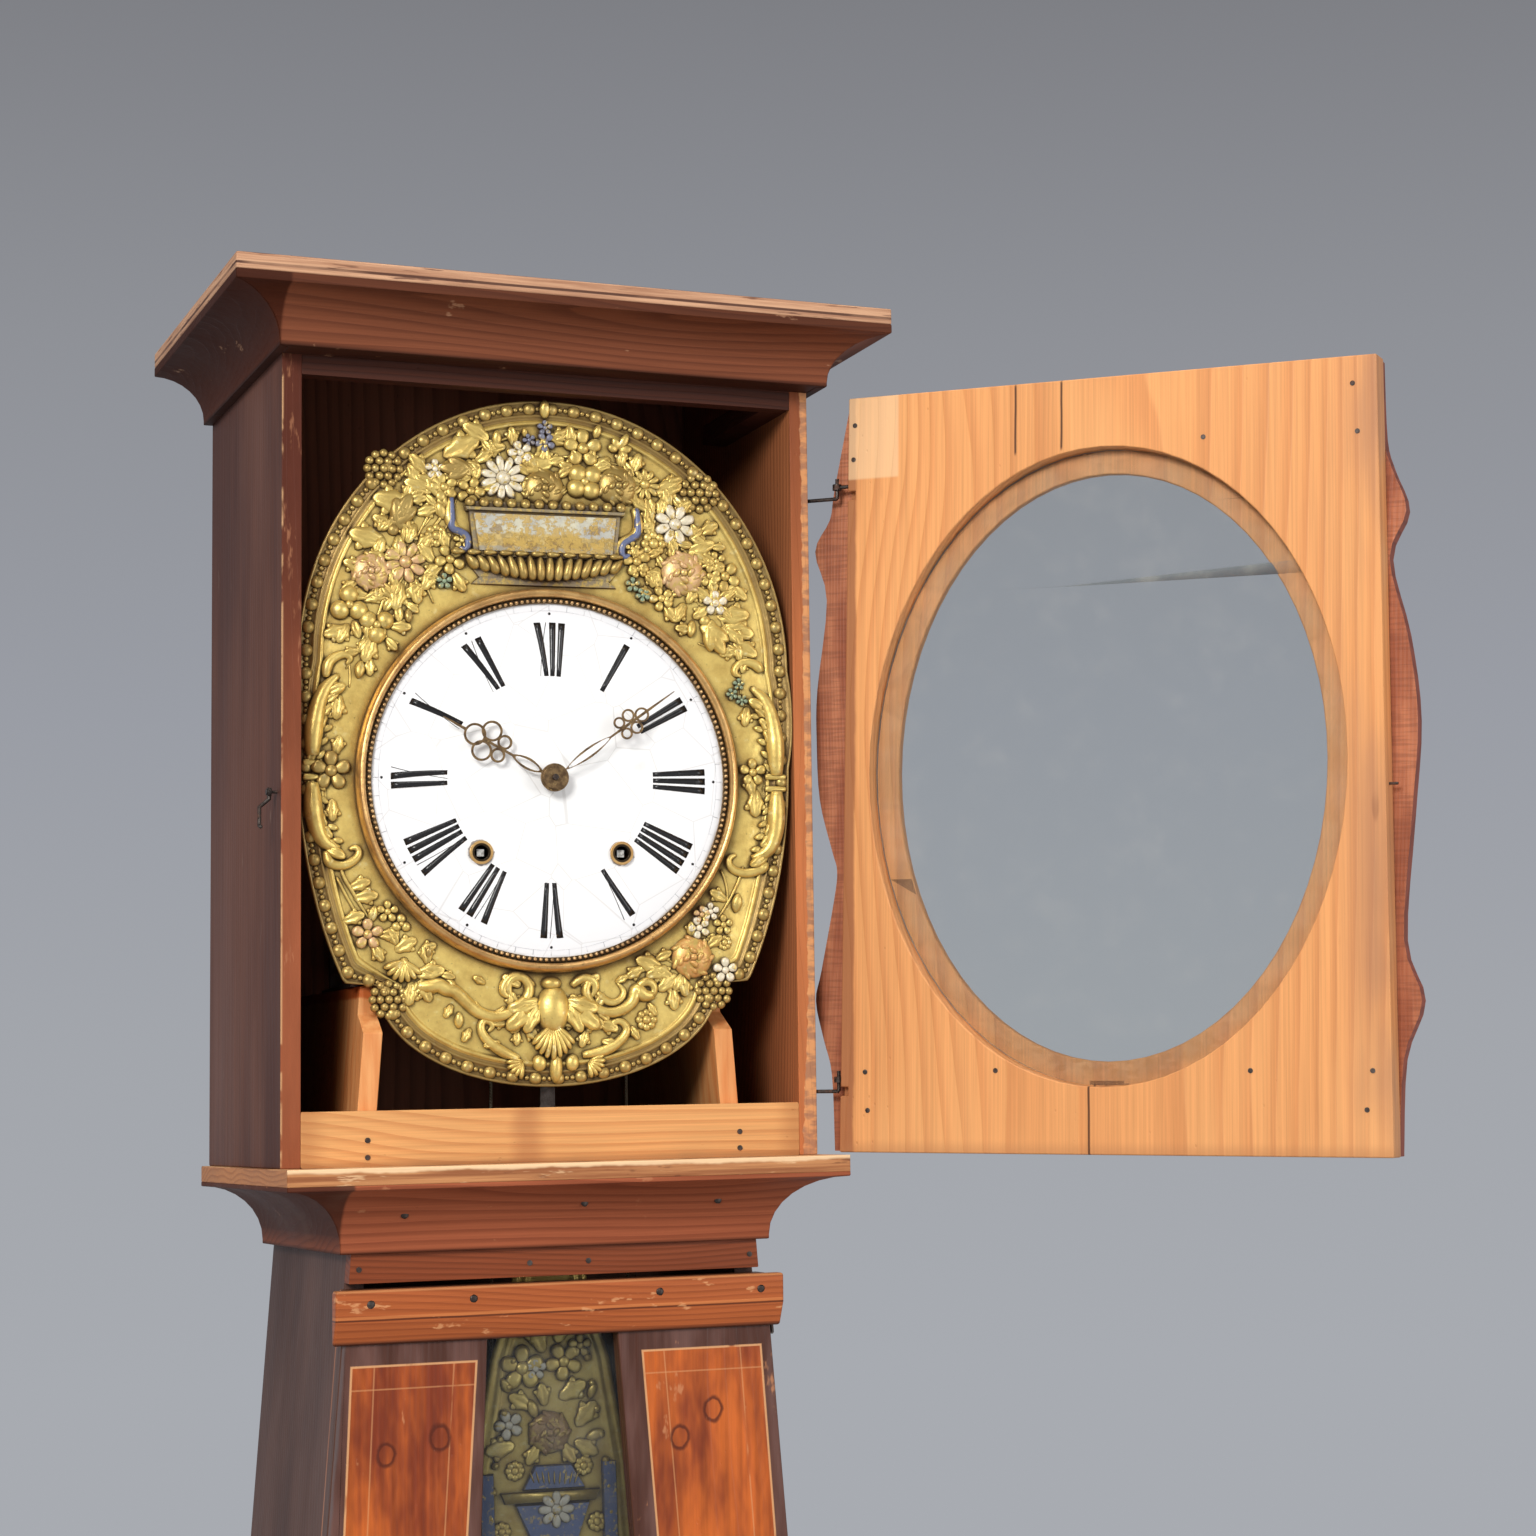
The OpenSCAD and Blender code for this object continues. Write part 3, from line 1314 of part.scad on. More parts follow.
hood_side_left();
hood_side_right();
hood_back();
cap_board();
head_rail();
bottom_rail();
cornice();
ledge_cap();
ledge_cove();
frieze_rail();
trunk_side_left();
trunk_side_right();
trunk_back();
trunk_bottom_rail();
base_front();
base_sides();
base_back();
base_shelves();
base_moulding();
plinth();
hinge_pins();
case_nails();
hood_door_board();
hood_door_strips();
hood_door_glass();
hood_door_irons();
latch_hook();
trunk_door_board();
trunk_door_moulding();
trunk_door_glass();
trunk_door_irons();
turn_button();
surround();
bezel();
dial();
cage();
arbor_bars();
suspension_cock();
bell();
hammer();
going_barrel();
going_great_wheel();
second_wheel();
third_wheel();
escape_wheel();
anchor();
strike_barrel();
strike_great_wheel();
pin_wheel();
locking_wheel();
fly();
minute_hand();
minute_wheel();
hour_hand();
pendulum_rod();
pendulum_sheet();
going_weight();
strike_weight();
going_line();
strike_line();
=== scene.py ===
import math
import random

import bmesh
import bpy
import numpy as np
from mathutils import Matrix, Vector


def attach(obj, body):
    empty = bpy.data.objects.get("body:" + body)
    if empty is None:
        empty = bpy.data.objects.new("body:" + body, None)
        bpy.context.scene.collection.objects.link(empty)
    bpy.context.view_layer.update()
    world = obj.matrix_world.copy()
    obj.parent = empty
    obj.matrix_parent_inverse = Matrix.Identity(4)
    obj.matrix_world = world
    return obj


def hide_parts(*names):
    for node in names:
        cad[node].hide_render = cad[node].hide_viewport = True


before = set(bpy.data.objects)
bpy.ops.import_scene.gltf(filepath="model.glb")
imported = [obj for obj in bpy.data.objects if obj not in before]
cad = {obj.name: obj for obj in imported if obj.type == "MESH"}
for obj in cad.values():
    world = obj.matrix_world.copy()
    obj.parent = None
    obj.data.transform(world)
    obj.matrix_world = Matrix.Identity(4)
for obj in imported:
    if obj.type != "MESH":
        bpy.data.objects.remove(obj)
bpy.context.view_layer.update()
MM = 0.001

# Camera. It stands a little left of the clock and below the middle of the hood, looks slightly up,
# and is shifted sideways because the photograph is a part of a wider view.
camera_data = bpy.data.cameras.new("camera")
camera_data.lens, camera_data.sensor_width = 75.205, 36
camera_data.shift_x = -0.15104
camera = bpy.data.objects.new("camera", camera_data)
turned = Matrix.Rotation(-0.427, 4, "Z") @ Matrix.Rotation(0.104, 4, "X") @ Matrix.Rotation(0.021, 4, "Y")
upright = Matrix.Rotation(math.pi / 2, 4, "X")
camera.matrix_world = Matrix.Translation((-0.61455, -2.18905, 1.77252)) @ turned @ upright
bpy.context.scene.collection.objects.link(camera)
bpy.context.scene.camera = camera
bpy.context.scene.view_settings.view_transform = "Standard"


# Studio. A pale floor, a grey backdrop that only the camera, gloss and glass see, and soft lamps: the
# large one stands in front on the left, and the fill and the top lamp open the shadows.
class Wire:
    """One output of a shader node. Sums and products of wires and numbers add Math nodes."""

    def __init__(self, finish, socket):
        self.finish, self.socket = finish, socket

    def math(self, operation, *others):
        return self.finish.node("ShaderNodeMath", {"operation": operation}, dict(enumerate((self, *others))))

    def __add__(self, other):
        return self.math("ADD", other)

    __radd__ = __add__

    def __mul__(self, other):
        return self.math("MULTIPLY", other)

    __rmul__ = __mul__

    def __sub__(self, other):
        return self.math("SUBTRACT", other)

    def __rsub__(self, other):
        return (self * -1) + other

    def __truediv__(self, other):
        return self.math("DIVIDE", other)

    def __pow__(self, other):
        return self.math("POWER", other)

    def band(self, low, high, start=0.0, end=1.0):
        """start below low, end above high, and a smooth step between them."""
        return self.finish.node("ShaderNodeMapRange", {"interpolation_type": "SMOOTHSTEP"},
                                {0: self, 1: low, 2: high, 3: start, 4: end})


class Finish:
    """A material under construction."""

    def __init__(self, name):
        self.material = bpy.data.materials.new(name)
        self.material.use_nodes = True
        self.tree = self.material.node_tree
        self.tree.nodes.clear()
        self.place = self.node("ShaderNodeTexCoord", out="Object")

    def node(self, kind, settings=None, sockets=None, out=0):
        made = self.tree.nodes.new(kind)
        for key, value in (settings or {}).items():
            if key == "stops":
                for stop, (position, colour) in zip((0, 1), (value[0], value[-1])):
                    made.color_ramp.elements[stop].position = position
                    made.color_ramp.elements[stop].color = (*colour, 1)
                for position, colour in value[1:-1]:
                    made.color_ramp.elements.new(position).color = (*colour, 1)
            else:
                setattr(made, key, value)
        for key, value in (sockets or {}).items():
            if isinstance(value, Wire):
                self.tree.links.new(value.socket, made.inputs[key])
            else:
                made.inputs[key].default_value = value
        return None if out is None else Wire(self, made.outputs[out])

    def mix(self, first, second, factor):
        """Two colours, each a wire or three numbers."""
        first, second = ((*c, 1) if isinstance(c, tuple) else c for c in (first, second))
        return self.node("ShaderNodeMix", {"data_type": "RGBA"}, {0: factor, 6: first, 7: second}, 2)

    def patches(self, first, second, scale, low, high, detail=3):
        """Two tones in patches of noise."""
        return self.mix(tone(*first), tone(*second), self.noise(scale, detail).band(low, high))

    def darker(self, colour, factor):
        """The colour times a number."""
        return self.node("ShaderNodeVectorMath", {"operation": "SCALE"}, {0: colour, "Scale": factor})

    def uneven(self, colour, scale, amount, detail=3):
        """The colour, lighter and darker with noise."""
        return self.darker(colour, (self.noise(scale, detail) - 0.5) * amount + 1.0)

    def split(self):
        """X, Y and Z of the place, in metres."""
        return [self.node("ShaderNodeSeparateXYZ", None, {0: self.place}, i) for i in range(3)]

    def stretched(self, scale, shift=(0, 0, 0)):
        """The place times one number, or times a number each for X, Y and Z."""
        scale = scale if isinstance(scale, tuple) else (scale,) * 3
        return self.node("ShaderNodeMapping", None, {"Vector": self.place, "Scale": scale, "Location": shift})

    def noise(self, scale, detail=3.0, rough=0.55, shift=(0, 0, 0), warp=0.0):
        """Noise with so many cells a metre, the same all round or along X, Y and Z."""
        return self.node("ShaderNodeTexNoise", None, {
            "Vector": self.stretched(scale, shift), "Scale": 1.0, "Detail": detail, "Roughness": rough,
            "Distortion": warp})

    def cells(self, scale, feature="F1", shift=(0, 0, 0), out="Distance"):
        return self.node("ShaderNodeTexVoronoi", {"feature": feature},
                         {"Vector": self.stretched(scale, shift), "Scale": 1.0}, out)

    def crevice(self, reach):
        """1 on open surfaces, down to 0 in crevices that are so many metres deep or wide."""
        return self.node("ShaderNodeAmbientOcclusion", {"samples": 8}, {"Distance": reach}, "AO")

    def bump(self, height, distance, strength=1.0, under=None):
        sockets = {"Height": height, "Distance": distance, "Strength": strength}
        if under:
            sockets["Normal"] = under
        return self.node("ShaderNodeBump", None, sockets)

    def close(self, colour, rough, metal=0.0, normal=None, **constants):
        """Ends the material in one Principled shader and returns the material."""
        sockets = {"Base Color": (*colour, 1) if isinstance(colour, tuple) else colour, "Roughness": rough,
                   "Metallic": metal}
        if normal:
            sockets["Normal"] = normal
        sockets.update({key.replace("_", " "): value for key, value in constants.items()})
        shader = self.node("ShaderNodeBsdfPrincipled", None, sockets)
        self.node("ShaderNodeOutputMaterial", None, {"Surface": shader}, out=None)
        return self.material


def tone(red, green, blue):
    """A colour that was judged on a screen, 0 to 255, as the shader wants it."""
    return tuple(((c / 255 + 0.055) / 1.055) ** 2.4 if c > 10 else c / 3295 for c in (red, green, blue))


def lamp(name, place, aim, size, watts, colour=(1, 1, 1)):
    data = bpy.data.lights.new(name, "AREA")
    data.shape, data.size, data.energy, data.color = "DISK", size, watts, colour
    made = bpy.data.objects.new(name, data)
    away = Vector(place) - Vector(aim)
    made.matrix_world = Matrix.Translation(place) @ away.to_track_quat("Z", "Y").to_matrix().to_4x4()
    bpy.context.scene.collection.objects.link(made)


lamp("key", (-2.1, -2.9, 3.3), (0, 0, 1.8), 1.3, 99, (1, 0.98, 0.95))
lamp("fill", (2.4, -3.0, 2.2), (0, 0, 1.7), 2.2, 41)
lamp("top", (-0.3, -0.6, 4.6), (0, 0, 1.5), 1.8, 30)

bm = bmesh.new()
bmesh.ops.create_grid(bm, x_segments=1, y_segments=1, size=3.2)
floor = bpy.data.objects.new("floor", bpy.data.meshes.new("floor"))
bm.to_mesh(floor.data)
bm.free()
bpy.context.scene.collection.objects.link(floor)
ground = Finish("pale_floor")
floor.data.materials.append(ground.close(tone(176, 179, 184), 0.8))

world = bpy.data.worlds.new("studio")
bpy.context.scene.world = world
world.use_nodes = True
studio = Finish.__new__(Finish)
studio.tree = world.node_tree
studio.tree.nodes.clear()
direction = studio.node("ShaderNodeTexCoord", out="Generated")
height = studio.node("ShaderNodeSeparateXYZ", None, {0: direction}, 2)
backdrop = studio.node("ShaderNodeValToRGB", {"stops": [
    (0.0, tone(169, 172, 178)), (0.38, tone(168, 171, 177)), (0.47, tone(163, 166, 172)),
    (0.56, tone(154, 157, 165)), (0.66, tone(143, 145, 151)), (0.76, tone(124, 125, 130))]},
    {0: height * 0.9 + 0.45})
seen = [studio.node("ShaderNodeLightPath", out=ray)
        for ray in ("Is Camera Ray", "Is Glossy Ray", "Is Transmission Ray")]
lit = studio.node("ShaderNodeBackground", None, {"Color": (1, 1, 1, 1), "Strength": 0.42})
shown = studio.node("ShaderNodeBackground", None, {"Color": backdrop, "Strength": 1.0})
both = studio.node("ShaderNodeMixShader", None, {
    0: seen[0].math("MAXIMUM", seen[1]).math("MAXIMUM", seen[2]), 1: lit, 2: shown})
studio.node("ShaderNodeOutputWorld", None, {"Surface": both}, out=None)


# Boards of the case. Old softwood planks, sawn and planed by hand, stained outside and bare inside.
# The rings run round a pith outside the plank, so that they show as streaks and pointed arches.
def wood(name, early, late, along="z", pith=(0.11, -0.2), ring=0.0042, gloss=0.5, streak=0.5, paint=None,
         cloud=0.5, worm=0.25, shift=0.0, turn=None, gleam=0.22):
    """Pine with its grain along one axis. early and late are the pale and dark wood of a ring."""
    f = Finish(name)
    early, late = tone(*early), tone(*late)
    if turn:
        turn(f)
    x, y, z = f.split()
    length, across, deep = {"z": (z, x, y), "x": (x, z, y), "y": (y, x, z)}[along]
    scale = {"z": lambda a, b: (b, b, a), "x": lambda a, b: (a, b, b), "y": lambda a, b: (b, a, b)}[along]
    seed = (shift, shift * 1.7, shift * 0.6)
    sway = f.noise(scale(1.3, 5), 2, 0.5, seed) - 0.5
    lean = f.noise(scale(3.0, 16), 3, 0.5, seed) - 0.5
    far = across - pith[0] + sway * 0.09 + length * 0.02
    near = deep - pith[1] + sway * 0.05
    radius = (far * far + near * near).math("SQRT") + lean * 0.006
    grain = (radius / ring).math("FRACT")
    late_wood = grain.band(0.35, 0.93) * grain.band(0.93, 1.0, 1, 0)
    fibre = f.noise(scale(7, 620), 3, 0.6, seed)
    patch = f.noise(scale(2.2, 9), 3, 0.6, seed)
    colour = f.mix(early, late, late_wood * streak)
    colour = f.darker(colour, (fibre - 0.5) * 0.55 + (patch - 0.5) * cloud + 1.0)
    holes = f.cells(scale(90, 150), shift=seed).band(0.05, 0.13, 1, 0)
    specks = holes * f.noise(14, 2).band(0.55, 0.7)
    colour = f.mix(colour, tuple(c * 0.2 for c in late), specks * worm)
    if paint:
        colour = paint(f, x, y, z, colour)
    rough = (fibre - 0.5) * 0.25 + (patch - 0.5) * 0.3 + gloss
    relief = f.bump(fibre * 0.35 + late_wood * 0.4 - specks * 0.8, 0.0006, 0.55)
    return f.close(colour, rough, 0, relief, Specular_IOR_Level=gleam)


def soften(node, width=0.8, finish=None, grade=30):
    """Rounds the edges of a CAD node by so many millimetres and gives it its finish."""
    piece = cad[node]
    weld = piece.modifiers.new("weld", "WELD")
    weld.merge_threshold = 1e-6
    if width:
        bevel = piece.modifiers.new("round", "BEVEL")
        bevel.width, bevel.segments, bevel.limit_method = width * MM, 2, "ANGLE"
        bevel.angle_limit = math.radians(grade)
        bevel.use_clamp_overlap = True
        even = piece.modifiers.new("even", "WEIGHTED_NORMAL")
        even.weight = 100
    if finish:
        for place in range(max(1, len(piece.data.materials))):
            if piece.data.materials:
                piece.data.materials[place] = finish
            else:
                piece.data.materials.append(finish)
    return piece


def scuffs(f, colour, pale, scale, low=0.62, high=0.7, amount=0.8, shift=0.0):
    """Small pale rubbed spots."""
    spot = f.noise(scale, 4, 0.65, (shift, 0, shift)).band(low, high)
    return f.mix(colour, tone(*pale), spot * amount)


# Planes of the case, in metres: the hood's front and its two outer sides.
FRONT_Y, SIDE_X = -0.12, 0.1835


def left_board(f, x, y, z, colour):
    """Outside: dark brown. Front edge: red-brown, rubbed paler towards its foot."""
    outer = x.band(-SIDE_X + 0.0003, -SIDE_X + 0.0005, 1, 0)
    side = f.patches((108, 70, 57), (82, 50, 42), (30, 9, 2.2), 0.35, 0.65)
    side = f.uneven(side, (200, 200, 6), 0.5, 2)
    side = scuffs(f, side, (140, 118, 104), (60, 60, 12), 0.66, 0.74, 0.6)
    front = y.band(FRONT_Y + 0.0002, FRONT_Y + 0.0008, 1, 0)
    edge = f.mix(tone(150, 84, 55), tone(88, 45, 33), z.band(1.88, 2.2))
    edge = f.uneven(edge, (80, 80, 18), 0.6)
    edge = scuffs(f, edge, (190, 130, 94), (120, 120, 26), 0.64, 0.72, 0.4)
    flaked = x.band(-SIDE_X + 0.0003, -SIDE_X + 0.0017, 1, 0) * f.noise((60, 60, 40)).band(0.45, 0.55)
    edge = f.mix(edge, tone(214, 168, 122), flaked * 0.7)
    # Painted shade: the inner face darkens towards the back of the hood.
    colour = f.darker(colour, (y - FRONT_Y).band(0.0, 0.09, 0.9, 0.5))
    return f.mix(f.mix(colour, side, outer), edge, front)


def right_board(f, x, y, z, colour):
    """Front edge: orange-brown with a pale strip where the finish has flaked from the outer arris."""
    front = y.band(FRONT_Y + 0.0002, FRONT_Y + 0.0008, 1, 0)
    edge = f.mix(tone(192, 112, 64), tone(142, 76, 44), z.band(2.0, 2.29))
    edge = f.uneven(edge, (90, 90, 14), 0.5)
    saw = f.noise((40, 40, 150), 2) * 0.004 + z.band(1.74, 1.86, 0.005, 0.0)
    bare = f.patches((222, 154, 100), (176, 122, 90), (60, 60, 160), 0.4, 0.6)
    edge = f.mix(edge, bare, (x + saw).band(0.1798, 0.1806))
    outer = x.band(SIDE_X - 0.0005, SIDE_X - 0.0003)
    side = f.mix(tone(112, 74, 58), tone(82, 52, 42), f.noise((30, 9, 2.2)).band(0.3, 0.7))
    # Painted shade: the inner face darkens towards the back of the hood.
    colour = f.darker(colour, (y - FRONT_Y).band(0.0, 0.1, 1.0, 0.5))
    return f.mix(f.mix(colour, side, outer), edge, front)


inside_pine = wood("inside_pine", (150, 96, 66), (96, 52, 36), gloss=0.6, shift=3.1)
soften("hood_side_left", 0.8, wood("left_board", (168, 104, 68), (108, 60, 40), paint=left_board,
                                   shift=1.2, gleam=0.1))
soften("hood_side_right", 0.8, wood("right_board", (176, 108, 68), (120, 64, 40), paint=right_board,
                                    shift=2.2))
soften("hood_back", 0.8, wood("back_board", (140, 88, 66), (92, 56, 42), cloud=0.7, gloss=0.7,
                              shift=4.0))
soften("head_rail", 0.8, wood("head_rail", (72, 36, 24), (48, 24, 17), "x", (0.05, -0.2), gloss=0.6,
                              shift=5.0))


def foot_rail(f, x, y, z, colour):
    """Pale pine with a knot, darker along its foot and towards its ends."""
    colour = f.mix(colour, tone(150, 96, 58), z.band(1.7405, 1.746, 0.6, 0))
    off = (x + 0.021) * 3.2 + f.noise((30, 30, 60), 3) * 0.03 - 0.015
    colour = f.mix(colour, tone(158, 96, 60), off.math("ABSOLUTE").band(0.006, 0.05, 0.45, 0))
    return f.mix(colour, tone(172, 112, 66), x.math("ABSOLUTE").band(0.15, 0.168, 0, 0.5))


soften("bottom_rail", 1.0, wood("foot_rail", (222, 164, 104), (190, 122, 70), "x", (0.1, -0.22),
                                0.0052, paint=foot_rail, gloss=0.55, worm=0.1, shift=6.0))


# Cornice and cap board. Three mitred lengths of stained cove under a flat board, whose edge is rubbed
# through to the pale wood and has a groove along it.
def cornice_look(f, x, y, z, colour):
    left = x.band(-0.1905, -0.188, 1, 0)
    colour = f.mix(colour, tone(70, 33, 21), left * 0.92)
    colour = f.mix(colour, tone(52, 30, 24), z.band(2.2708, 2.2745, 0.85, 0))
    colour = f.mix(colour, tone(60, 34, 26), z.band(2.303, 2.305, 0, 0.6))
    return scuffs(f, colour, (196, 150, 116), (30, 30, 90), 0.66, 0.72, 0.55)


soften("cornice", 0.7, wood("cornice_cove", (124, 72, 50), (84, 46, 34), "x", (0.2, -0.3), 0.006,
                            paint=cornice_look, gloss=0.56, cloud=0.9, shift=7.0, gleam=0.05))


def cap_look(f, x, y, z, colour):
    """Pale rubbed edge, dark groove and dirt, dark top."""
    pale = f.patches((206, 160, 126), (164, 118, 90), (14, 14, 420), 0.3, 0.7, 4)
    pale = f.mix(pale, tone(104, 68, 54), f.noise((26, 26, 300), 4, shift=(5, 0, 0)).band(0.6, 0.68) * 0.8)
    groove = z.band(2.3128, 2.3134) * z.band(2.3146, 2.3152, 1, 0)
    pale = f.mix(pale, tone(70, 40, 32), groove * f.noise(12).band(0.3, 0.45, 0.45, 0.9))
    return f.mix(pale, tone(84, 60, 50), z.band(2.3205, 2.3209))


soften("cap_board", 1.2, wood("cap_board", (200, 150, 112), (150, 100, 74), "x", paint=cap_look,
                              gloss=0.6, shift=8.0))


# Ledge, frieze and base mouldings. Stained coves nailed round the trunk, under a board whose rubbed
# edge shows pale wood.
def ledge_look(f, x, y, z, colour):
    left = x.band(-0.1475, -0.145, 1, 0)
    shaded = f.patches((78, 42, 31), (96, 70, 58), (12, 12, 18), 0.5, 0.75)
    colour = f.mix(colour, shaded, left * 0.9)
    colour = f.mix(colour, tone(66, 36, 26), z.band(1.6845, 1.6875, 0.8, 0))
    return scuffs(f, colour, (190, 130, 92), (34, 34, 60), 0.66, 0.72, 0.5, 2.0)


soften("ledge_cove", 0.7, wood("ledge_cove", (156, 86, 58), (112, 56, 38), "x", (0.15, -0.3), 0.006,
                               paint=ledge_look, gloss=0.5, cloud=0.8, shift=9.0, gleam=0.06))


def ledge_board(f, x, y, z, colour):
    """Pale worn top, and a front edge that is rubbed palest along its arris."""
    rubbed = f.patches((196, 136, 88), (150, 92, 56), (8, 8, 300), 0.35, 0.65, 4)
    rubbed = scuffs(f, rubbed, (112, 66, 42), (26, 26, 120), 0.58, 0.66, 0.7, 5.0)
    arris = f.noise(30, 3) * 0.006 + z
    rubbed = f.mix(rubbed, tone(238, 200, 156), arris.band(1.7392, 1.7412))
    rubbed = scuffs(f, rubbed, (232, 190, 144), (24, 24, 160), 0.6, 0.68, 0.7, 8.0)
    front = y.band(-0.1672, -0.1655, 1, 0)
    top = f.patches((214, 164, 116), (150, 100, 66), 20, 0.4, 0.65)
    colour = f.mix(colour, top, z.band(1.7394, 1.7398))
    return f.mix(colour, rubbed, front)


soften("ledge_cap", 1.0, wood("ledge_board", (190, 128, 84), (150, 92, 58), "x", paint=ledge_board,
                              gloss=0.55, shift=10.0))
soften("frieze_rail", 0.6, wood("frieze", (132, 66, 36), (90, 42, 22), "x", (0.1, -0.3), gloss=0.4,
                                cloud=0.9, shift=11.0))


# Trunk and base boards. The outside is stained dark grey-brown, the two tall sides run up into the hood
# as bare cheeks that carry the movement, and the inside is bare and dusty.
def cheek_look(side):
    """Bare above the ledge, where the saw cut's end shows as a change of tone, and stained below it."""
    def look(f, x, y, z, colour):
        saw = z + x * (0.25 * side) - f.noise(60, 2) * 0.004
        upper = f.patches((206, 110, 52), (176, 84, 38), (80, 80, 12), 0.3, 0.7)
        lower = f.patches((232, 166, 106), (214, 134, 76), (120, 120, 12), 0.3, 0.7)
        bare = f.mix(lower, upper, saw.band(1.816, 1.8185))
        # Painted shade: the bare wood darkens towards the back of the hood.
        bare = f.darker(bare, y.band(-0.10, -0.02, 1.0, 0.35))
        outside = f.patches((100, 70, 60), (74, 50, 44), (40, 12, 3), 0.3, 0.7)
        outside = scuffs(f, outside, (140, 120, 110), (50, 50, 10), 0.66, 0.74, 0.5)
        return f.mix(outside, bare, z.band(1.7388, 1.7398))
    return look


soften("trunk_side_left", 1.0, wood("left_trunk_side", (190, 120, 70), (130, 76, 44),
                                    paint=cheek_look(1), gloss=0.5, shift=12.0))
soften("trunk_side_right", 1.0, wood("right_trunk_side", (190, 120, 70), (130, 76, 44),
                                     paint=cheek_look(-1), gloss=0.5, shift=13.0))
outside_rail = wood("outside_rail", (146, 80, 48), (92, 46, 30), "x", (0.1, -0.3), cloud=0.8,
                    gloss=0.42, shift=15.0)
dark_pine = wood("dark_side_boards", (92, 68, 60), (64, 46, 42), cloud=0.6, gloss=0.5, shift=16.0)
soften("trunk_back", 0.8, wood("trunk_back", (70, 46, 36), (46, 30, 24), gloss=0.7, shift=17.0))
for node, width, finish in (("trunk_bottom_rail", 0.8, outside_rail), ("base_front", 1.0, outside_rail),
                            ("base_sides", 1.0, dark_pine), ("base_back", 0.8, dark_pine),
                            ("base_shelves", 0.8, inside_pine), ("base_moulding", 0.8, outside_rail),
                            ("plinth", 1.2, outside_rail)):
    soften(node, width, finish)


# Hood door. One wide plank of bare, honey-coloured pine with an oval cut for the glass, which lies in a
# rebate on the inner face. It stands open, so its finish is laid out on the closed door.
DOOR_HINGE, HINGE_LEAN = (0.197, -0.1275, 1.7908), (0.0117, -0.005, 1)
OVAL_X, OVAL_Z, OVAL_HALF_W, OVAL_HALF_H = 0.002, 2.001, 0.170, 0.215


def as_closed(f):
    """Turns the finish's place back to the closed door."""
    f.place = f.node("ShaderNodeVectorRotate", {"rotation_type": "AXIS_ANGLE"}, {
        "Vector": f.place, "Center": DOOR_HINGE, "Axis": HINGE_LEAN, "Angle": math.radians(-133.5)})


def crack(f, place, across, run, low, high, width):
    """A thin wavy line where across = place, from low to high of run."""
    sway = (f.noise(9, 3) - 0.5) * 0.004
    near = (across + sway - place).math("ABSOLUTE")
    length = run.band(low, low + 0.004) * run.band(high - 0.004, high, 1, 0)
    return near.band(width * 0.4, width, 1, 0) * length


def door_look(f, x, y, z, colour):
    """Honey-coloured inside with cracks and stains, fresher wood and painted light in the oval's rebate, dark
    on the front.
    """
    inner = y.band(-0.1212, -0.1206)
    outer = y.band(-0.1384, -0.1378, 1, 0)
    oval = ((x - OVAL_X) / OVAL_HALF_W) ** 2 + ((z - OVAL_Z) / OVAL_HALF_H) ** 2
    # The rebate's pale colour is fresher wood and painted light against the shade in it.
    fresh_wood_and_light = f.patches((255, 226, 194), (228, 186, 150), 40, 0.35, 0.65)
    foot = z.band(1.80, 1.86, 1, 0)
    putty = f.patches((168, 156, 142), (120, 92, 70), 120, 0.4, 0.6)
    fresh_wood_and_light = f.mix(fresh_wood_and_light, putty, foot * f.noise((34, 34, 90), 3).band(0.42, 0.55))
    glow = f.noise((8, 8, 2.2), 3, shift=(1, 0, 3))
    colour = f.mix(colour, tone(248, 190, 126), glow.band(0.5, 0.75) * 0.45)
    grey = x.band(-0.195, -0.150, 1, 0) * f.noise((16, 16, 5), 3, shift=(3, 0, 0)).band(0.35, 0.62)
    colour = f.mix(colour, tone(172, 122, 92), grey * 0.75)
    colour = f.mix(colour, tone(150, 92, 60), (x + f.noise(30) * 0.004).band(0.1835, 0.186) * 0.8)
    colour = f.mix(colour, tone(244, 206, 160), x.band(0.150, 0.152) * z.band(2.205, 2.207) * 0.55)
    colour = f.mix(colour, tone(178, 120, 78), z.band(1.742, 1.752, 0.45, 0))
    for place, low, high in ((0.064, 2.213, 2.265), (0.030, 2.214, 2.265), (0.011, 1.73, 1.79)):
        colour = f.mix(colour, tone(70, 40, 26), crack(f, place, x, z, low, high, 0.0011) * 0.9)
    specks_and_shade = f.cells((55, 55, 12), shift=(2, 0, 1)).band(0.10, 0.17, 1, 0)
    stain = specks_and_shade * f.noise(5).band(0.5, 0.6)
    colour = f.mix(colour, tone(128, 76, 50), stain * 0.6)
    front = f.patches((128, 70, 44), (92, 46, 30), (60, 60, 6), 0.35, 0.65)
    deep = y.band(-0.1326, -0.1322, 0, 1) * (1 - inner) * oval.band(0.90, 1.02, 1, 0)
    colour = f.mix(colour, fresh_wood_and_light, deep)
    return f.mix(colour, front, outer)


soften("hood_door_board", 1.0, wood("door_plank", (230, 160, 100), (194, 118, 68), pith=(0.03, -0.35),
                                    ring=0.006, streak=0.4, gloss=0.5, cloud=0.35, worm=0.12, paint=door_look,
                                    shift=20.0, turn=as_closed))


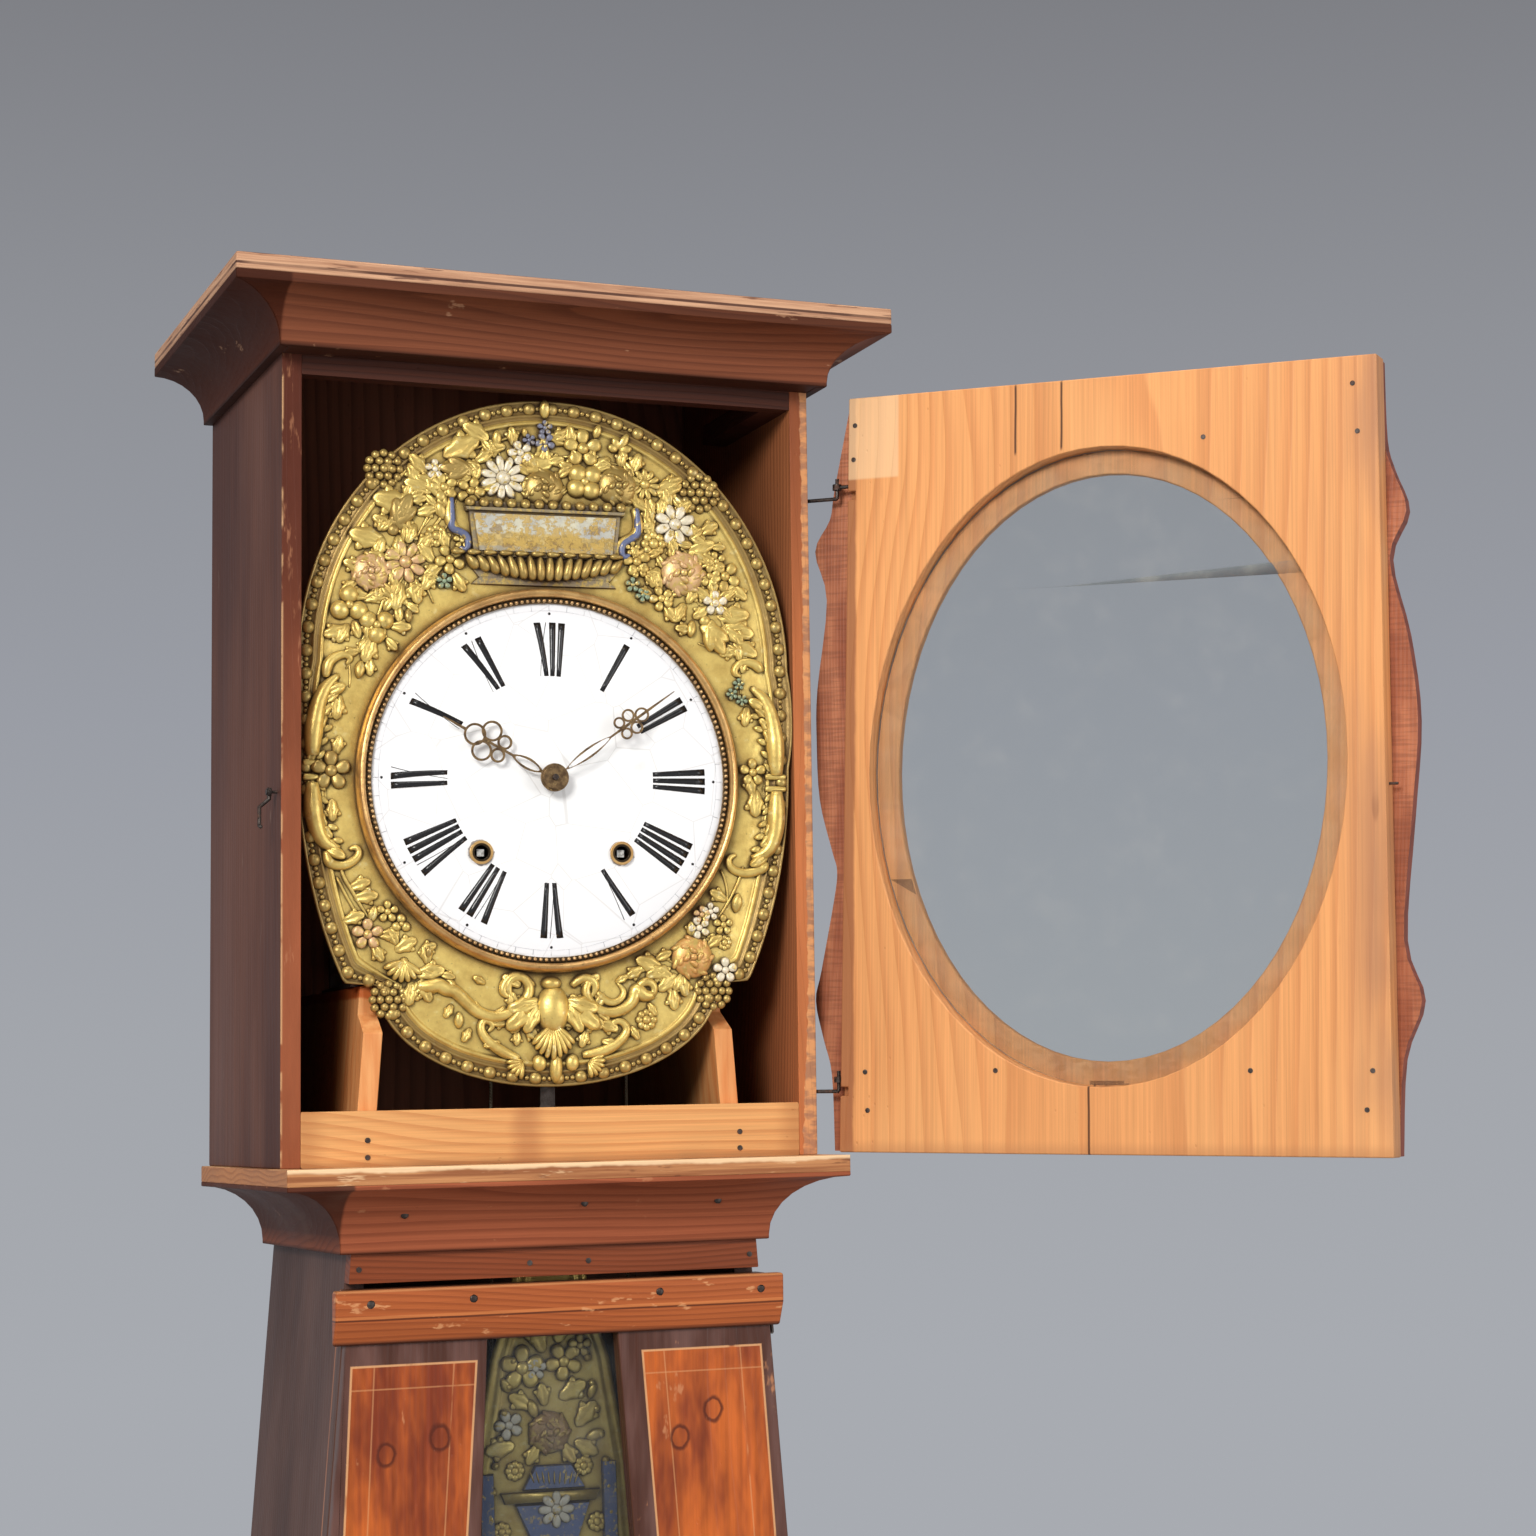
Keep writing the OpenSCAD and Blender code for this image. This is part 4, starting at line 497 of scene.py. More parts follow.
# Scalloped strips on the door's front. Sawn from thin mahogany, nailed on, and seen from behind where
# they run past the door's edges; their backs are paler and rough from the saw.
def strip_look(f, x, y, z, colour):
    back = y.band(-0.1389, -0.1387)
    pale = f.patches((194, 122, 86), (156, 88, 60), (60, 60, 10), 0.35, 0.65)
    saw = f.noise((30, 30, 420), 2).band(0.45, 0.6)
    pale = f.mix(pale, tone(112, 62, 46), saw * 0.35)
    return f.mix(colour, pale, back)


soften("hood_door_strips", 0.7, wood("strip_mahogany", (136, 66, 44), (92, 40, 28), gloss=0.4,
                                     cloud=0.8, ring=0.003, paint=strip_look, shift=21.0, turn=as_closed))


# Glass of both doors. Old thin panes, slightly uneven, with dust along their edges; the trunk's pane
# mirrors the room a little more.
def pane(name, waves, tint):
    f = Finish(name)
    ripple = f.noise((waves, waves, waves * 0.6), 2, 0.5)
    dust = f.noise(40, 4, 0.6).band(0.45, 0.8)
    clear = f.node("ShaderNodeBsdfTransparent", None, {"Color": (*tint, 1)})
    mirror = f.node("ShaderNodeBsdfPrincipled", None, {
        "Base Color": f.mix(tone(150, 154, 158), tone(190, 188, 184), dust), "Roughness": dust * 0.12 + 0.02,
        "Metallic": 0.0, "Normal": f.bump(ripple, 0.004, 0.12), "Specular IOR Level": 0.6})
    edge = f.node("ShaderNodeFresnel", None, {"IOR": 1.45})
    share = edge * 0.9 + dust * 0.03 + 0.02
    f.node("ShaderNodeOutputMaterial", None, {
        "Surface": f.node("ShaderNodeMixShader", None, {0: share, 1: clear, 2: mirror})}, out=None)
    return f.material


soften("hood_door_glass", 0, pane("hood_pane", 9.0, (0.96, 0.975, 0.97)))
soften("trunk_door_glass", 0, pane("trunk_pane", 6.0, (0.90, 0.92, 0.93)))


# Small ironwork: hinge pins and eyes bent from wire, hand-made nails and the latch hook. Dark, rusty in
# places, and rubbed to bare metal where it moves.
def wrought(name, pale=0.5, rust=0.5):
    f = Finish(name)
    blotch = f.noise(140, 4, 0.6)
    fine = f.noise(900, 3, 0.6)
    colour = f.mix(tone(66, 58, 54), tone(112, 104, 98), blotch.band(0.35, 0.75) * pale)
    red = f.noise(260, 4, 0.65, (3, 1, 2)).band(0.52, 0.66)
    colour = f.mix(colour, tone(104, 60, 38), red * rust)
    metal = red.band(0, 1, 0.9, 0.25)
    return f.close(colour, fine * 0.3 + red * 0.25 + 0.32, metal, f.bump(fine + blotch, 0.0003, 0.6))


iron_wire = wrought("iron_wire", 0.6, 0.55)
for node in ("hinge_pins", "case_nails", "hood_door_irons", "latch_hook", "trunk_door_irons"):
    soften(node, 0.15, iron_wire, 40)


# Trunk door. A wide pine plank, stained, with two long panels of dark banding and pale lines let into
# it beside the window, and knots in the panels. Its left edge is worn to the bare wood.
def trunk_door_look(f, x, y, z, colour):
    front = y.band(-0.12545, -0.1252, 1, 0)
    down = z * -1 + 1.6
    panel = f.mix(tone(202, 102, 42), tone(126, 54, 30), f.noise((22, 22, 6), 4, 0.68).band(0.36, 0.64))
    panel = f.uneven(panel, (260, 260, 9), 0.8)
    band = f.patches((80, 48, 38), (106, 74, 66), (60, 60, 10), 0.35, 0.7)
    band = f.uneven(band, (200, 200, 20), 0.6)
    seen = band
    for outer, slope_o, inner, slope_i, top in ((-0.1400, -0.0435, -0.0578, -0.060, 1.6135),
                                                (0.0558, 0.0785, 0.1396, 0.0690, 1.6145)):
        left, right = x - (down * slope_o + outer), (down * slope_i + inner) - x
        over, low = (z * -1) + top, z - 0.53
        depth = left.math("MINIMUM", right).math("MINIMUM", over).math("MINIMUM", low)
        inside = depth.band(0.0001, 0.0004)
        seen = f.mix(seen, panel, inside)
        rubbed = f.noise((50, 50, 24), 3, shift=(3, 0, 0)).band(0.3, 0.42)
        inlay = (depth - 0.0004).math("ABSOLUTE").band(0.0004, 0.0010, 1, 0)
        seen = f.mix(seen, tone(222, 166, 116), inlay * rubbed * 0.8)
        for off in (left, right, over):
            scribed = (off - 0.0152).math("ABSOLUTE").band(0.0003, 0.0007, 1, 0)
            seen = f.mix(seen, tone(214, 150, 100), scribed * inside * rubbed * 0.45)
    for kx, kz, size in ((-0.1168, 1.557, 0.0062), (-0.0817, 1.566, 0.0070), (0.1039, 1.5733, 0.0066),
                         (0.0806, 1.5563, 0.0064)):
        off = ((x - kx) ** 2 + ((z - kz) * 0.8) ** 2).math("SQRT")
        off = off + (f.noise(150) - 0.5) * 0.003
        seen = f.mix(seen, tone(84, 34, 20), off.band(size * 0.9, size * 1.2, 0.85, 0))
        seen = f.mix(seen, panel, off.band(size * 0.68, size * 0.82, 0.85, 0))
    slant = (x * -1) - ((z * -1 + 1.6624) * 0.077 + 0.1427)
    worn = (slant + f.noise((70, 70, 24), 3) * 0.005 - 0.0025).band(-0.0035, -0.0015)
    seen = f.mix(seen, tone(98, 88, 88), worn * 0.7)
    seen = scuffs(f, seen, (206, 140, 96), (60, 60, 24), 0.64, 0.7, 0.6, 3.0)
    back = f.mix(f.darker(colour, 0.8), tone(70, 44, 36), y.band(-0.112, -0.110, 0.9, 0))
    return f.mix(back, seen, front)


soften("trunk_door_board", 1.0, wood("trunk_door_plank", (190, 118, 72), (136, 76, 48), gloss=0.34,
                                     cloud=0.5, paint=trunk_door_look, shift=22.0))


def moulding_look(f, x, y, z, colour):
    """Dark lower member, painted highlight and painted shade lines between the members, pale upper edge."""
    colour = f.mix(colour, tone(64, 34, 24), z.band(1.6275, 1.6305, 0.85, 0))
    colour = f.mix(colour, tone(206, 142, 92), z.band(1.6600, 1.6612) * 0.7)
    uneven = z + f.noise(20, 2) * 0.001 - 0.0005
    # A painted highlight above a painted shade line, where the moulding's members meet.
    for painted_line_z, thin, wide, share, painted_line_colour in ((1.6446, 0.0005, 0.0014, 0.6, tone(222, 136, 78)),
                                                 (1.6430, 0.0003, 0.0009, 0.8, tone(78, 38, 24))):
        colour = f.mix(colour, painted_line_colour, (uneven - painted_line_z).math("ABSOLUTE").band(thin, wide, share, 0))
    return scuffs(f, colour, (222, 158, 108), (40, 40, 120), 0.63, 0.69, 0.7, 4.0)


soften("trunk_door_moulding", 1.6, wood("door_moulding", (174, 92, 48), (130, 62, 30), "x",
                                        (0.1, -0.3), gloss=0.36, cloud=0.7, paint=moulding_look, shift=23.0))


# Stamped surround. One thin brass sheet raised from behind, gilt and partly painted. The sheet has a
# rolled edge, a channel for beads and a rib; its field is hammered and ends under the bezel.
FACE_AT, FACE_TURN = (0.0003, -0.105, 1.9955), math.radians(4.8)
FACE = Matrix.Translation(FACE_AT) @ Matrix.Rotation(-FACE_TURN, 4, "Z") @ Matrix.Scale(MM, 4)


def to_face(f):
    """Makes the finish's place local to the face, in metres: x to the right, y backwards, z up."""
    turned = f.node("ShaderNodeVectorRotate", {"rotation_type": "Z_AXIS"}, {
        "Vector": f.place, "Center": FACE_AT, "Angle": FACE_TURN})
    f.place = f.node("ShaderNodeVectorMath", {"operation": "SUBTRACT"}, {0: turned, 1: FACE_AT})


def piece(name, bm, finish, body="case", stands_for=None, slot=None, place=FACE, smooth=True, solid=0.0):
    """Turns a mesh that was drawn in the face's millimetres into a piece on a body."""
    bmesh.ops.recalc_face_normals(bm, faces=bm.faces)
    bm.transform(place)
    made = bpy.data.objects.new(name, bpy.data.meshes.new(name))
    bm.to_mesh(made.data)
    bm.free()
    made.data.polygons.foreach_set("use_smooth", [smooth] * len(made.data.polygons))
    bpy.context.scene.collection.objects.link(made)
    made.data.materials.append(finish)
    if solid:
        shell = made.modifiers.new("sheet", "SOLIDIFY")
        shell.thickness, shell.offset = solid * MM, -1
    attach(made, body)
    if stands_for:
        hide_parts(*stands_for)
    return made


def gilt(name, paint=None, cover=0.0, dull=0.0, bright=0.0):
    """Stamped brass with gilding worn from its tops, red-brown dirt and painted shade in its hollows
    and, where it has any, thin paint that the metal shines through."""
    f = Finish(name)
    patch = f.noise(70, 4, 0.6)
    fine = f.noise(900, 3, 0.65)
    dents = f.cells(330, "SMOOTH_F1", (1, 2, 3))
    open_air = f.crevice(0.011)
    gold = f.mix(tone(244, 214, 124), tone(206, 172, 92), patch.band(0.3, 0.75))
    rubbed = f.noise(170, 3, shift=(4, 1, 0)).band(0.6, 0.75)
    gold = f.mix(gold, tone(255, 242, 180), rubbed * (0.4 + bright))
    if dull:
        gold = f.mix(gold, tone(126, 96, 58), dull)
    shine = 0.58
    if paint:
        wear = cover * 0.25
        coat = f.noise(240, 4, 0.7, (2, 5, 1)).band(0.45 + wear, 0.31 + wear) * cover
        shade = f.darker(tone(*paint), (patch - 0.5) * 0.7 + (fine - 0.5) * 0.4 + 1.0)
        gold = f.mix(gold, shade, coat)
        shine = coat * -0.5 + shine
    # Hollows darkened red-brown by occlusion: partly dirt, partly painted shade.
    dirt_and_shade = open_air.band(0.38, 0.88, 1, 0)
    colour = f.mix(gold, tone(70, 48, 32), dirt_and_shade * 0.9)
    colour = f.mix(colour, tone(66, 46, 30), f.noise(420, 4, 0.7).band(0.62, 0.72) * 0.5)
    rough = fine * 0.22 + dirt_and_shade * 0.25 + patch * 0.12 + 0.2
    return f.close(colour, rough, shine, f.bump(dents * 0.5 + fine * 0.35, 0.0005, 0.5))


# The surround in the face's millimetres: an arch over bowed sides, which are widest at BOW_Z, and an
# apron, each with the height of its middle and its reach upwards or downwards.
HALF_W, ARCH_Z, ARCH_RISE = 167.5, 78, 182
BOW_Z, BOW_REACH, BOW_STEPS = 10, 254, 16
APRON_W, APRON_Z, APRON_DROP = 116, -137, 69


def outline(inset, steps=60):
    """Outline of the surround, drawn in by so many millimetres: arch, bowed sides and apron."""
    turns = [math.pi * i / steps for i in range(steps + 1)]
    foot = APRON_Z + 1 + inset
    side = [BOW_Z + (foot - BOW_Z) * i / BOW_STEPS for i in range(BOW_STEPS + 1)]
    bow = [(HALF_W * math.sqrt(1 - ((z - BOW_Z) / BOW_REACH) ** 2) - inset, z) for z in side]
    arch = [((HALF_W - inset) * math.cos(a), ARCH_Z + (ARCH_RISE - inset) * math.sin(a)) for a in turns]
    apron = [((inset - APRON_W) * math.cos(a), APRON_Z - (APRON_DROP - inset) * math.sin(a)) for a in turns]
    return arch + [(-x, z) for x, z in bow] + apron + bow[::-1]


def reach(inset, angles):
    """Distance from the hands' axis to the outline at each angle."""
    p = np.array(outline(inset))
    a, r = np.unwrap(np.arctan2(p[:, 1], p[:, 0])), np.hypot(p[:, 0], p[:, 1])
    order = np.argsort(np.mod(a, 2 * math.pi))
    return np.interp(angles, np.mod(a, 2 * math.pi)[order], r[order], period=2 * math.pi)


def rings(bm, angles, loops):
    """A skin over closed loops, each a list of distances and a list of y for the angles."""
    grid = []
    for radii, ys in loops:
        made = bmesh.ops.create_circle(bm, segments=len(angles), radius=1)["verts"]
        for vert, a, r, y in zip(made, angles, radii, ys):
            vert.co = (r * math.cos(a), y, r * math.sin(a))
        grid.append({edge for vert in made for edge in vert.link_edges})
    for one, two in zip(grid, grid[1:]):
        bmesh.ops.bridge_loops(bm, edges=list(one | two))


FIELD_INSET, FIELD_FOOT, UNDER_BEZEL, GILT_INSET = 18.2, 130.4, 128.0, 12.8
angles = np.linspace(0, 2 * math.pi, 361)[:-1]
edge_rings = [(0.0, 4.2), (0.0, 1.4), (0.7, 0.9), (1.6, 1.1), (2.2, 2.4), (8.8, 2.5), (9.4, 1.6), (10.2, 1.2),
              (11.0, 1.6), (11.8, 2.6), (13.2, 2.5), (14.2, 1.2), (15.4, 0.4), (16.6, 1.2), (17.4, 2.6)]
loops = [(reach(d, angles), np.full(360, y)) for d, y in edge_rings]
rim, foot = reach(FIELD_INSET, angles), np.full(360, FIELD_FOOT)
for k in range(13):
    t = k / 12
    swell = 2.6 - 1.5 * math.sin(math.pi * t) * np.clip((rim - foot) / 40, 0.1, 1.0)
    dimple = 0.22 * np.sin(angles * 61 + k * 2.1) * np.sin(angles * 23 + k * 5.3) * math.sin(math.pi * t)
    loops.append((rim + (foot - rim) * t, swell + dimple))
loops.append((np.full(360, UNDER_BEZEL), np.full(360, 3.4)))
bm = bmesh.new()
rings(bm, angles, loops)
for face in bm.faces:
    centre = face.calc_center_median()
    turned = math.atan2(centre.z, centre.x) % (2 * math.pi)
    rim_r = np.interp(turned, angles, reach(GILT_INSET, angles), period=2 * math.pi)
    face.material_index = int(math.hypot(centre.x, centre.z) > rim_r)
field = piece("surround_sheet", bm, gilt("gilt_field"), stands_for=["surround"], slot="gilt_brass", solid=0.8)
field.data.materials.append(gilt("gilt_rim", dull=0.72))


# Beads round the surround. Hemispheres raised in the channel, and two small pearls between each pair.
def ball(bm, at, radius, flat=1.0, detail=2):
    made = bmesh.ops.create_icosphere(bm, subdivisions=detail, radius=radius)["verts"]
    for vert in made:
        vert.co = (vert.co.x + at[0], vert.co.y * flat + at[1], vert.co.z + at[2])


def along(points, pitch, shares):
    """Even places on a closed line, so many shares to each pitch, with a whole number of pitches."""
    p = np.array(points + points[:1])
    lengths = np.concatenate([[0], np.cumsum(np.hypot(*np.diff(p, axis=0).T))])
    count = round(lengths[-1] / pitch) * shares
    at = np.arange(count) * lengths[-1] / count
    return zip(np.interp(at, lengths, p[:, 0]), np.interp(at, lengths, p[:, 1]))


BEAD_INSET, BEAD_PITCH = 5.5, 15.4
bm = bmesh.new()
for i, (x, z) in enumerate(along(outline(BEAD_INSET), BEAD_PITCH, 8)):
    if i % 8 == 0:
        ball(bm, (x, 3.0, z), 4.6, 0.85, 3)
    elif i % 8 in (3, 5):
        ball(bm, (x, 2.4, z), 1.9, 1.0)
piece("surround_beads", bm, gilt("gilt_beads", bright=0.1, dull=0.5), slot="gilt_brass")


# Flowers, leaves and scrolls. Every petal and leaf is raised from the sheet as a low puffed shape with
# a crease; the kinds are set out by place, size and turn, and sorted by the colour of their paint.
TALLER, WIDER = 1.6, 1.18


def polar(distance, turn):
    """x and z at a distance, turned so many degrees from the right towards up."""
    return distance * math.cos(math.radians(turn)), distance * math.sin(math.radians(turn))


def puff(bm, at, turn, length, width, height, crease=0.35, tip=0.0, start=0.0, wave=0, detail=2, curl=0.0):
    """A puffed petal that starts so far from at and points turn degrees anticlockwise from up."""
    made = bmesh.ops.create_icosphere(bm, subdivisions=detail, radius=1)["verts"]
    ct, st = polar(1, turn)
    height *= TALLER
    for vert in made:
        a, w, b = vert.co
        along_it = (b + 1) / 2
        narrow = (1 - tip) + tip * math.sqrt(max(0.0, 1 - b * b))
        side = a * width / 2 * narrow * (0.55 + 0.6 * along_it if not tip else 1.0)
        if wave:
            side *= 1 + 0.16 * math.sin(wave * math.pi * along_it)
        up = -w * height / 2
        if up > 0:
            up *= 1 - crease * math.exp(-(a / 0.22) ** 2)
            up += height * 0.25 * along_it
        run = start + length * along_it
        side += curl * along_it * along_it * length
        vert.co = (at[0] + side * ct - run * st, at[1] - up, at[2] + side * st + run * ct)


def flower(bm, x, z, r, turn, petals, width, height=3.4, heart=0.3, seeds=0):
    """Petals round a heart, with a ring of seeds on the heart where it has any."""
    y = 1.0
    for k in range(petals):
        puff(bm, (x, y, z), turn + 360 * k / petals, r * 0.92, r * width, height, 0.45, start=r * 0.08)
    ball(bm, (x, y - height * 0.55, z), r * heart, 0.7)
    for k in range(seeds):
        over, up = polar(r * 0.2, 360 * k / seeds)
        ball(bm, (x + over, y - height * 0.75, z + up), r * 0.09, 1, 1)


def rose(bm, x, z, r, turn):
    """Three rings of curled petals on a low dome."""
    y = 1.6
    ball(bm, (x, y, z), r * 0.98, 0.45, 3)
    for ring_r, count, size in ((1.25, 7, 0.8), (0.85, 5, 0.66), (0.45, 4, 0.5)):
        for k in range(count):
            a = turn + 360 * k / count + 30 * (count == 5)
            over, up = polar(r * ring_r * 0.55, a + 90)
            at = (x + over, y - r * (1.4 - ring_r) * 0.34, z + up)
            puff(bm, at, a + 80, r * size, r * 0.36, r * 0.22, 0.0, start=-r * size / 2, curl=0.3)
    ball(bm, (x, y - r * 0.36, z), r * 0.2, 0.9)


def motif(bm, kind, x, z, r, turn):
    """One of the stamped shapes, r from its middle to its edge."""
    r *= WIDER
    if kind == "flower5":
        flower(bm, x, z, r, turn, 5, 0.78)
    elif kind == "daisy":
        flower(bm, x, z, r, turn, 11, 0.42, 3.0, 0.32, 6)
    elif kind == "daisy8":
        flower(bm, x, z, r, turn, 8, 0.55, 3.2, 0.3, 6)
    elif kind in ("rose", "ringrose"):
        rose(bm, x, z, r, turn)
    elif kind == "tulip":
        for spread, long in ((-34, 0.95), (34, 0.95), (0, 1.15)):
            puff(bm, (x, 1.0, z), turn + spread, r * 1.6 * long, r * 0.8, 4.6, 0.3, 0.5, start=-r * 0.6,
                 detail=3)
        over, up = polar(r * 0.6, turn - 90)
        ball(bm, (x + over, 1.6, z + up), r * 0.3, 0.8)
    elif kind in ("clover", "clover4"):
        lobes = 3 if kind == "clover" else 4
        for k in range(lobes):
            over, up = polar(r * 0.52, turn + 90 + 360 * k / lobes)
            ball(bm, (x + over, 1.2, z + up), r * 0.52, 0.75)
        ball(bm, (x, -1.0, z), r * 0.24, 0.8)
    elif kind == "button":
        for k in range(8):
            over, up = polar(r * 0.6, 45 * k)
            ball(bm, (x + over, 1.4, z + up), r * 0.36, 0.8)
        ball(bm, (x, 0.8, z), r * 0.42, 0.8)
    elif kind == "grapes":
        for count, share, y in ((1, 0, 0.4), (6, 0.42, 1.2), (12, 0.8, 2.0)):
            for k in range(count):
                over, up = polar(r * share, 360 * k / count)
                ball(bm, (x + over, y, z + up), r * 0.23, 0.9)
    elif kind == "shell":
        for k in range(7):
            puff(bm, (x, 1.2, z), turn + (k - 3) * 21, r * 1.3, r * 0.4, 3.4, 0.0, start=-r * 0.25)
    elif kind == "bud":
        puff(bm, (x, 1.2, z), turn, r * 1.9, r * 1.05, 4.0, 0.2, 0.4, start=-r * 0.95)
    elif kind == "oak":
        for spread, size in ((0, 1.2), (50, 0.85), (-50, 0.85), (100, 0.7), (-100, 0.7)):
            puff(bm, (x, 1.2, z), turn + spread, r * size, r * 0.55, 3.0, 0.4, 0.3)
    else:
        puff(bm, (x, 1.5, z), turn, r * 2.2, r * 1.25, 3.4, 0.6, 0.5, start=-r * 1.1, wave=5 if r > 6 else 0,
             detail=3)
        for k in (-1, 1):
            puff(bm, (x, 2.2, z), turn + 62 * k, r * 1.0, r * 0.62, 2.8, 0.4, 0.4, start=0)


GROWTH = """
leaf gold: -88 212 7 40, -78 199 8 -150, -93 165 6 160, -115 124 5 170, -145 -22 6 180, -131 -93 6 -70,
  87 207 6 -60, 70 183 6 10, -104 150 6 110, 104 156 6 -120, 100 130 6 150, -36 226 6 100, 8 236 6 -60,
  -2 221 6 0, 14 214 6 60, 36 216 6 -80, 58 196 6 -140, 94 190 6 -50, 112 176 6 -60, -112 172 6 60, -128
  122 6 80, -138 96 6 150, 124 130 6 -60;
flower5 white: -77 209 6.1 0, -19 223 7.5 20, 116 124 7.8 0, 110 -89 5.6 0, 102 -100 7 20, 120 -129 7.7
  0;
tulip dull: -58 210 11.5 90, -101 175 12.7 -25;
daisy white: -31 205 13.7 10;
rose dull: -3 199 12.4 0;
bud gold: -35 232 5.5 0, -16 237 3.4 0, -2 254 6.2 0, -73 181 6.1 20, 34 240 4.9 -20, 99 106 5.7 170,
  -127 72 5.9 170, -62 -161 5.3 0, 129 -83 6.4 -10;
leaf gold: -49 236 8.2 60, -59 225 10.8 -60, -24 234 5.5 10, -105 186 10.7 80, -122 161 9.9 75, -88 197
  8 70, -91 205 6 30, -83 152 6.7 40, -81 134 6.7 150, -61 133 6.1 -150, -102 122 8 170, -90 126 7.3
  -170, -143 97 6.6 110, -121 86 7.9 160, 16 236 6.2 10, 61 219 6.3 -20, 83 203 8.5 -75, 74 141 6.3 160,
  107 163 7.8 -70, 103 172 5 -50, 129 116 9.3 -85, 132 105 9.3 -100, 91 117 6.3 150, 137 93 7.9 -120,
  -144 60 5.2 60, -142 47 7.2 175, -127 -71 5.9 -70, -123 -79 6.5 -80, -97 -111 6.6 -60, -81 -129 7.9
  -80, -84 -141 6.6 -160, -94 -143 6.6 170, -22 -161 8.1 150, 26 -161 8.9 -120, 67 -124 7.6 70, 73 -130
  6.9 110, 80 -137 6.9 130, 91 -139 6.3 -170, 84 -148 6.3 -175, 116 -78 5.6 60, 137 46 5.7 170, 143 -14
  7.8 180;
flower5 blue: -2 241 4.8 0, -13 232 4.1 20, -2 231 6.2 30;
petal gold: -9 215 9.6 -80;
flower5 gold: -71 197 8.8 15, -53 195 8.8 50, -59 161 5.4 0, 24 228 11.8 0, 61 151 9.1 10, 58 160 4.9 0,
  112 143 7.1 0, 123 143 10 30, 117 153 6.4 15, 78 126 7.7 20, -109 -89 6.6 0, 119 -98 6.3 0, 141 7 8.5
  0;
button gold: -76 164 7.4 0, 73 164 8.4 0, 128 90 3.6 0, 65 -162 6.9 0, 111 -108 4.2 0, 120 -110 4.9 0;
daisy8 pink: -97 145 12.7 15;
rose pink: -120 138 11.3 0, 93 144 13.4 0;
petal gold: -131 142 5.9 70;
flower5 teal: -71 133 5.0 0, 58 135 4.6 0, 65 128 4.6 30, 132 68 3.8 0, 127 61 3.8 20, 134 57 3.8 40;
flower5 gold: -67 148 9.2 30, 62 146 6 10;
bud dull: -95 109 4.7 180, -82 -116 4 0;
clover gold: -134 115 11.2 0, -116 102 10.6 60, -100 -97 5.9 0;
oak gold: 49 228 9.8 -30;
clover4 gold: 25 205 11.8 40;
ringrose dull: 48 203 12.6 0;
daisy gold: 67 205 9.9 0;
daisy8 white: 88 178 12.7 20;
tulip gold: 113 104 12.8 -150;
flower5 dull: -146 4 11.7 0;
flower5 pink: -122 -104 9.1 0, 104 -91 5.6 0;
shell gold: -98 -122 11.8 170;
rose orange: 97 -120 12.6 0;
grapes rim: -111 208 11.3 0, 106 201 12.1 0, -108 -147 11.1 0, 112 -143 11.2 0"""
# The small leaves between them keep outside the bezel, inside the beads and off the urn.
BEZEL_EDGE, BEADS_INSET, URN_X, URN_HALF_W, URN_TOP = 138, 25, -3, 66, 194
groups = {}
rng = random.Random(11)
for row in GROWTH.split(";"):
    title, places = row.split(":")
    kind, colour = title.split()
    if colour not in groups:
        groups[colour] = bmesh.new()
    for at in places.split(","):
        x, z, r, turn = (float(n) for n in at.split())
        motif(groups[colour], kind, x, z, r, turn)
        for k in range(5 if r > 7.5 and colour != "rim" else 0):
            out = turn + 72 * k + rng.uniform(-24, 24)
            over, up = polar(r * 1.5, out + 90)
            leaf_x, leaf_z = x + over, z + up
            off, around = math.hypot(leaf_x, leaf_z), math.atan2(leaf_z, leaf_x) % (2 * math.pi)
            on_urn = abs(leaf_x - URN_X) < URN_HALF_W and 0 < leaf_z < URN_TOP
            if BEZEL_EDGE < off < reach(BEADS_INSET, [around])[0] and not on_urn:
                motif(groups["gold"], "leaf", leaf_x, leaf_z, rng.uniform(4.2, 6.2), out)
PAINTS = {"white": ((240, 232, 212), 0.8), "pink": ((222, 172, 140), 0.62), "teal": ((112, 152, 136), 0.8),
          "blue": ((98, 112, 148), 0.85), "orange": ((214, 146, 88), 0.62)}
for colour, group in groups.items():
    paint, covered = PAINTS.get(colour, (None, 0.0))
    dullness = 0.5 if colour in ("dull", "rim") else 0.08
    piece("surround_growth_" + colour, group, gilt("gilt_growth_" + colour, paint, covered, dullness, 0.25),
          slot="gilt_brass")


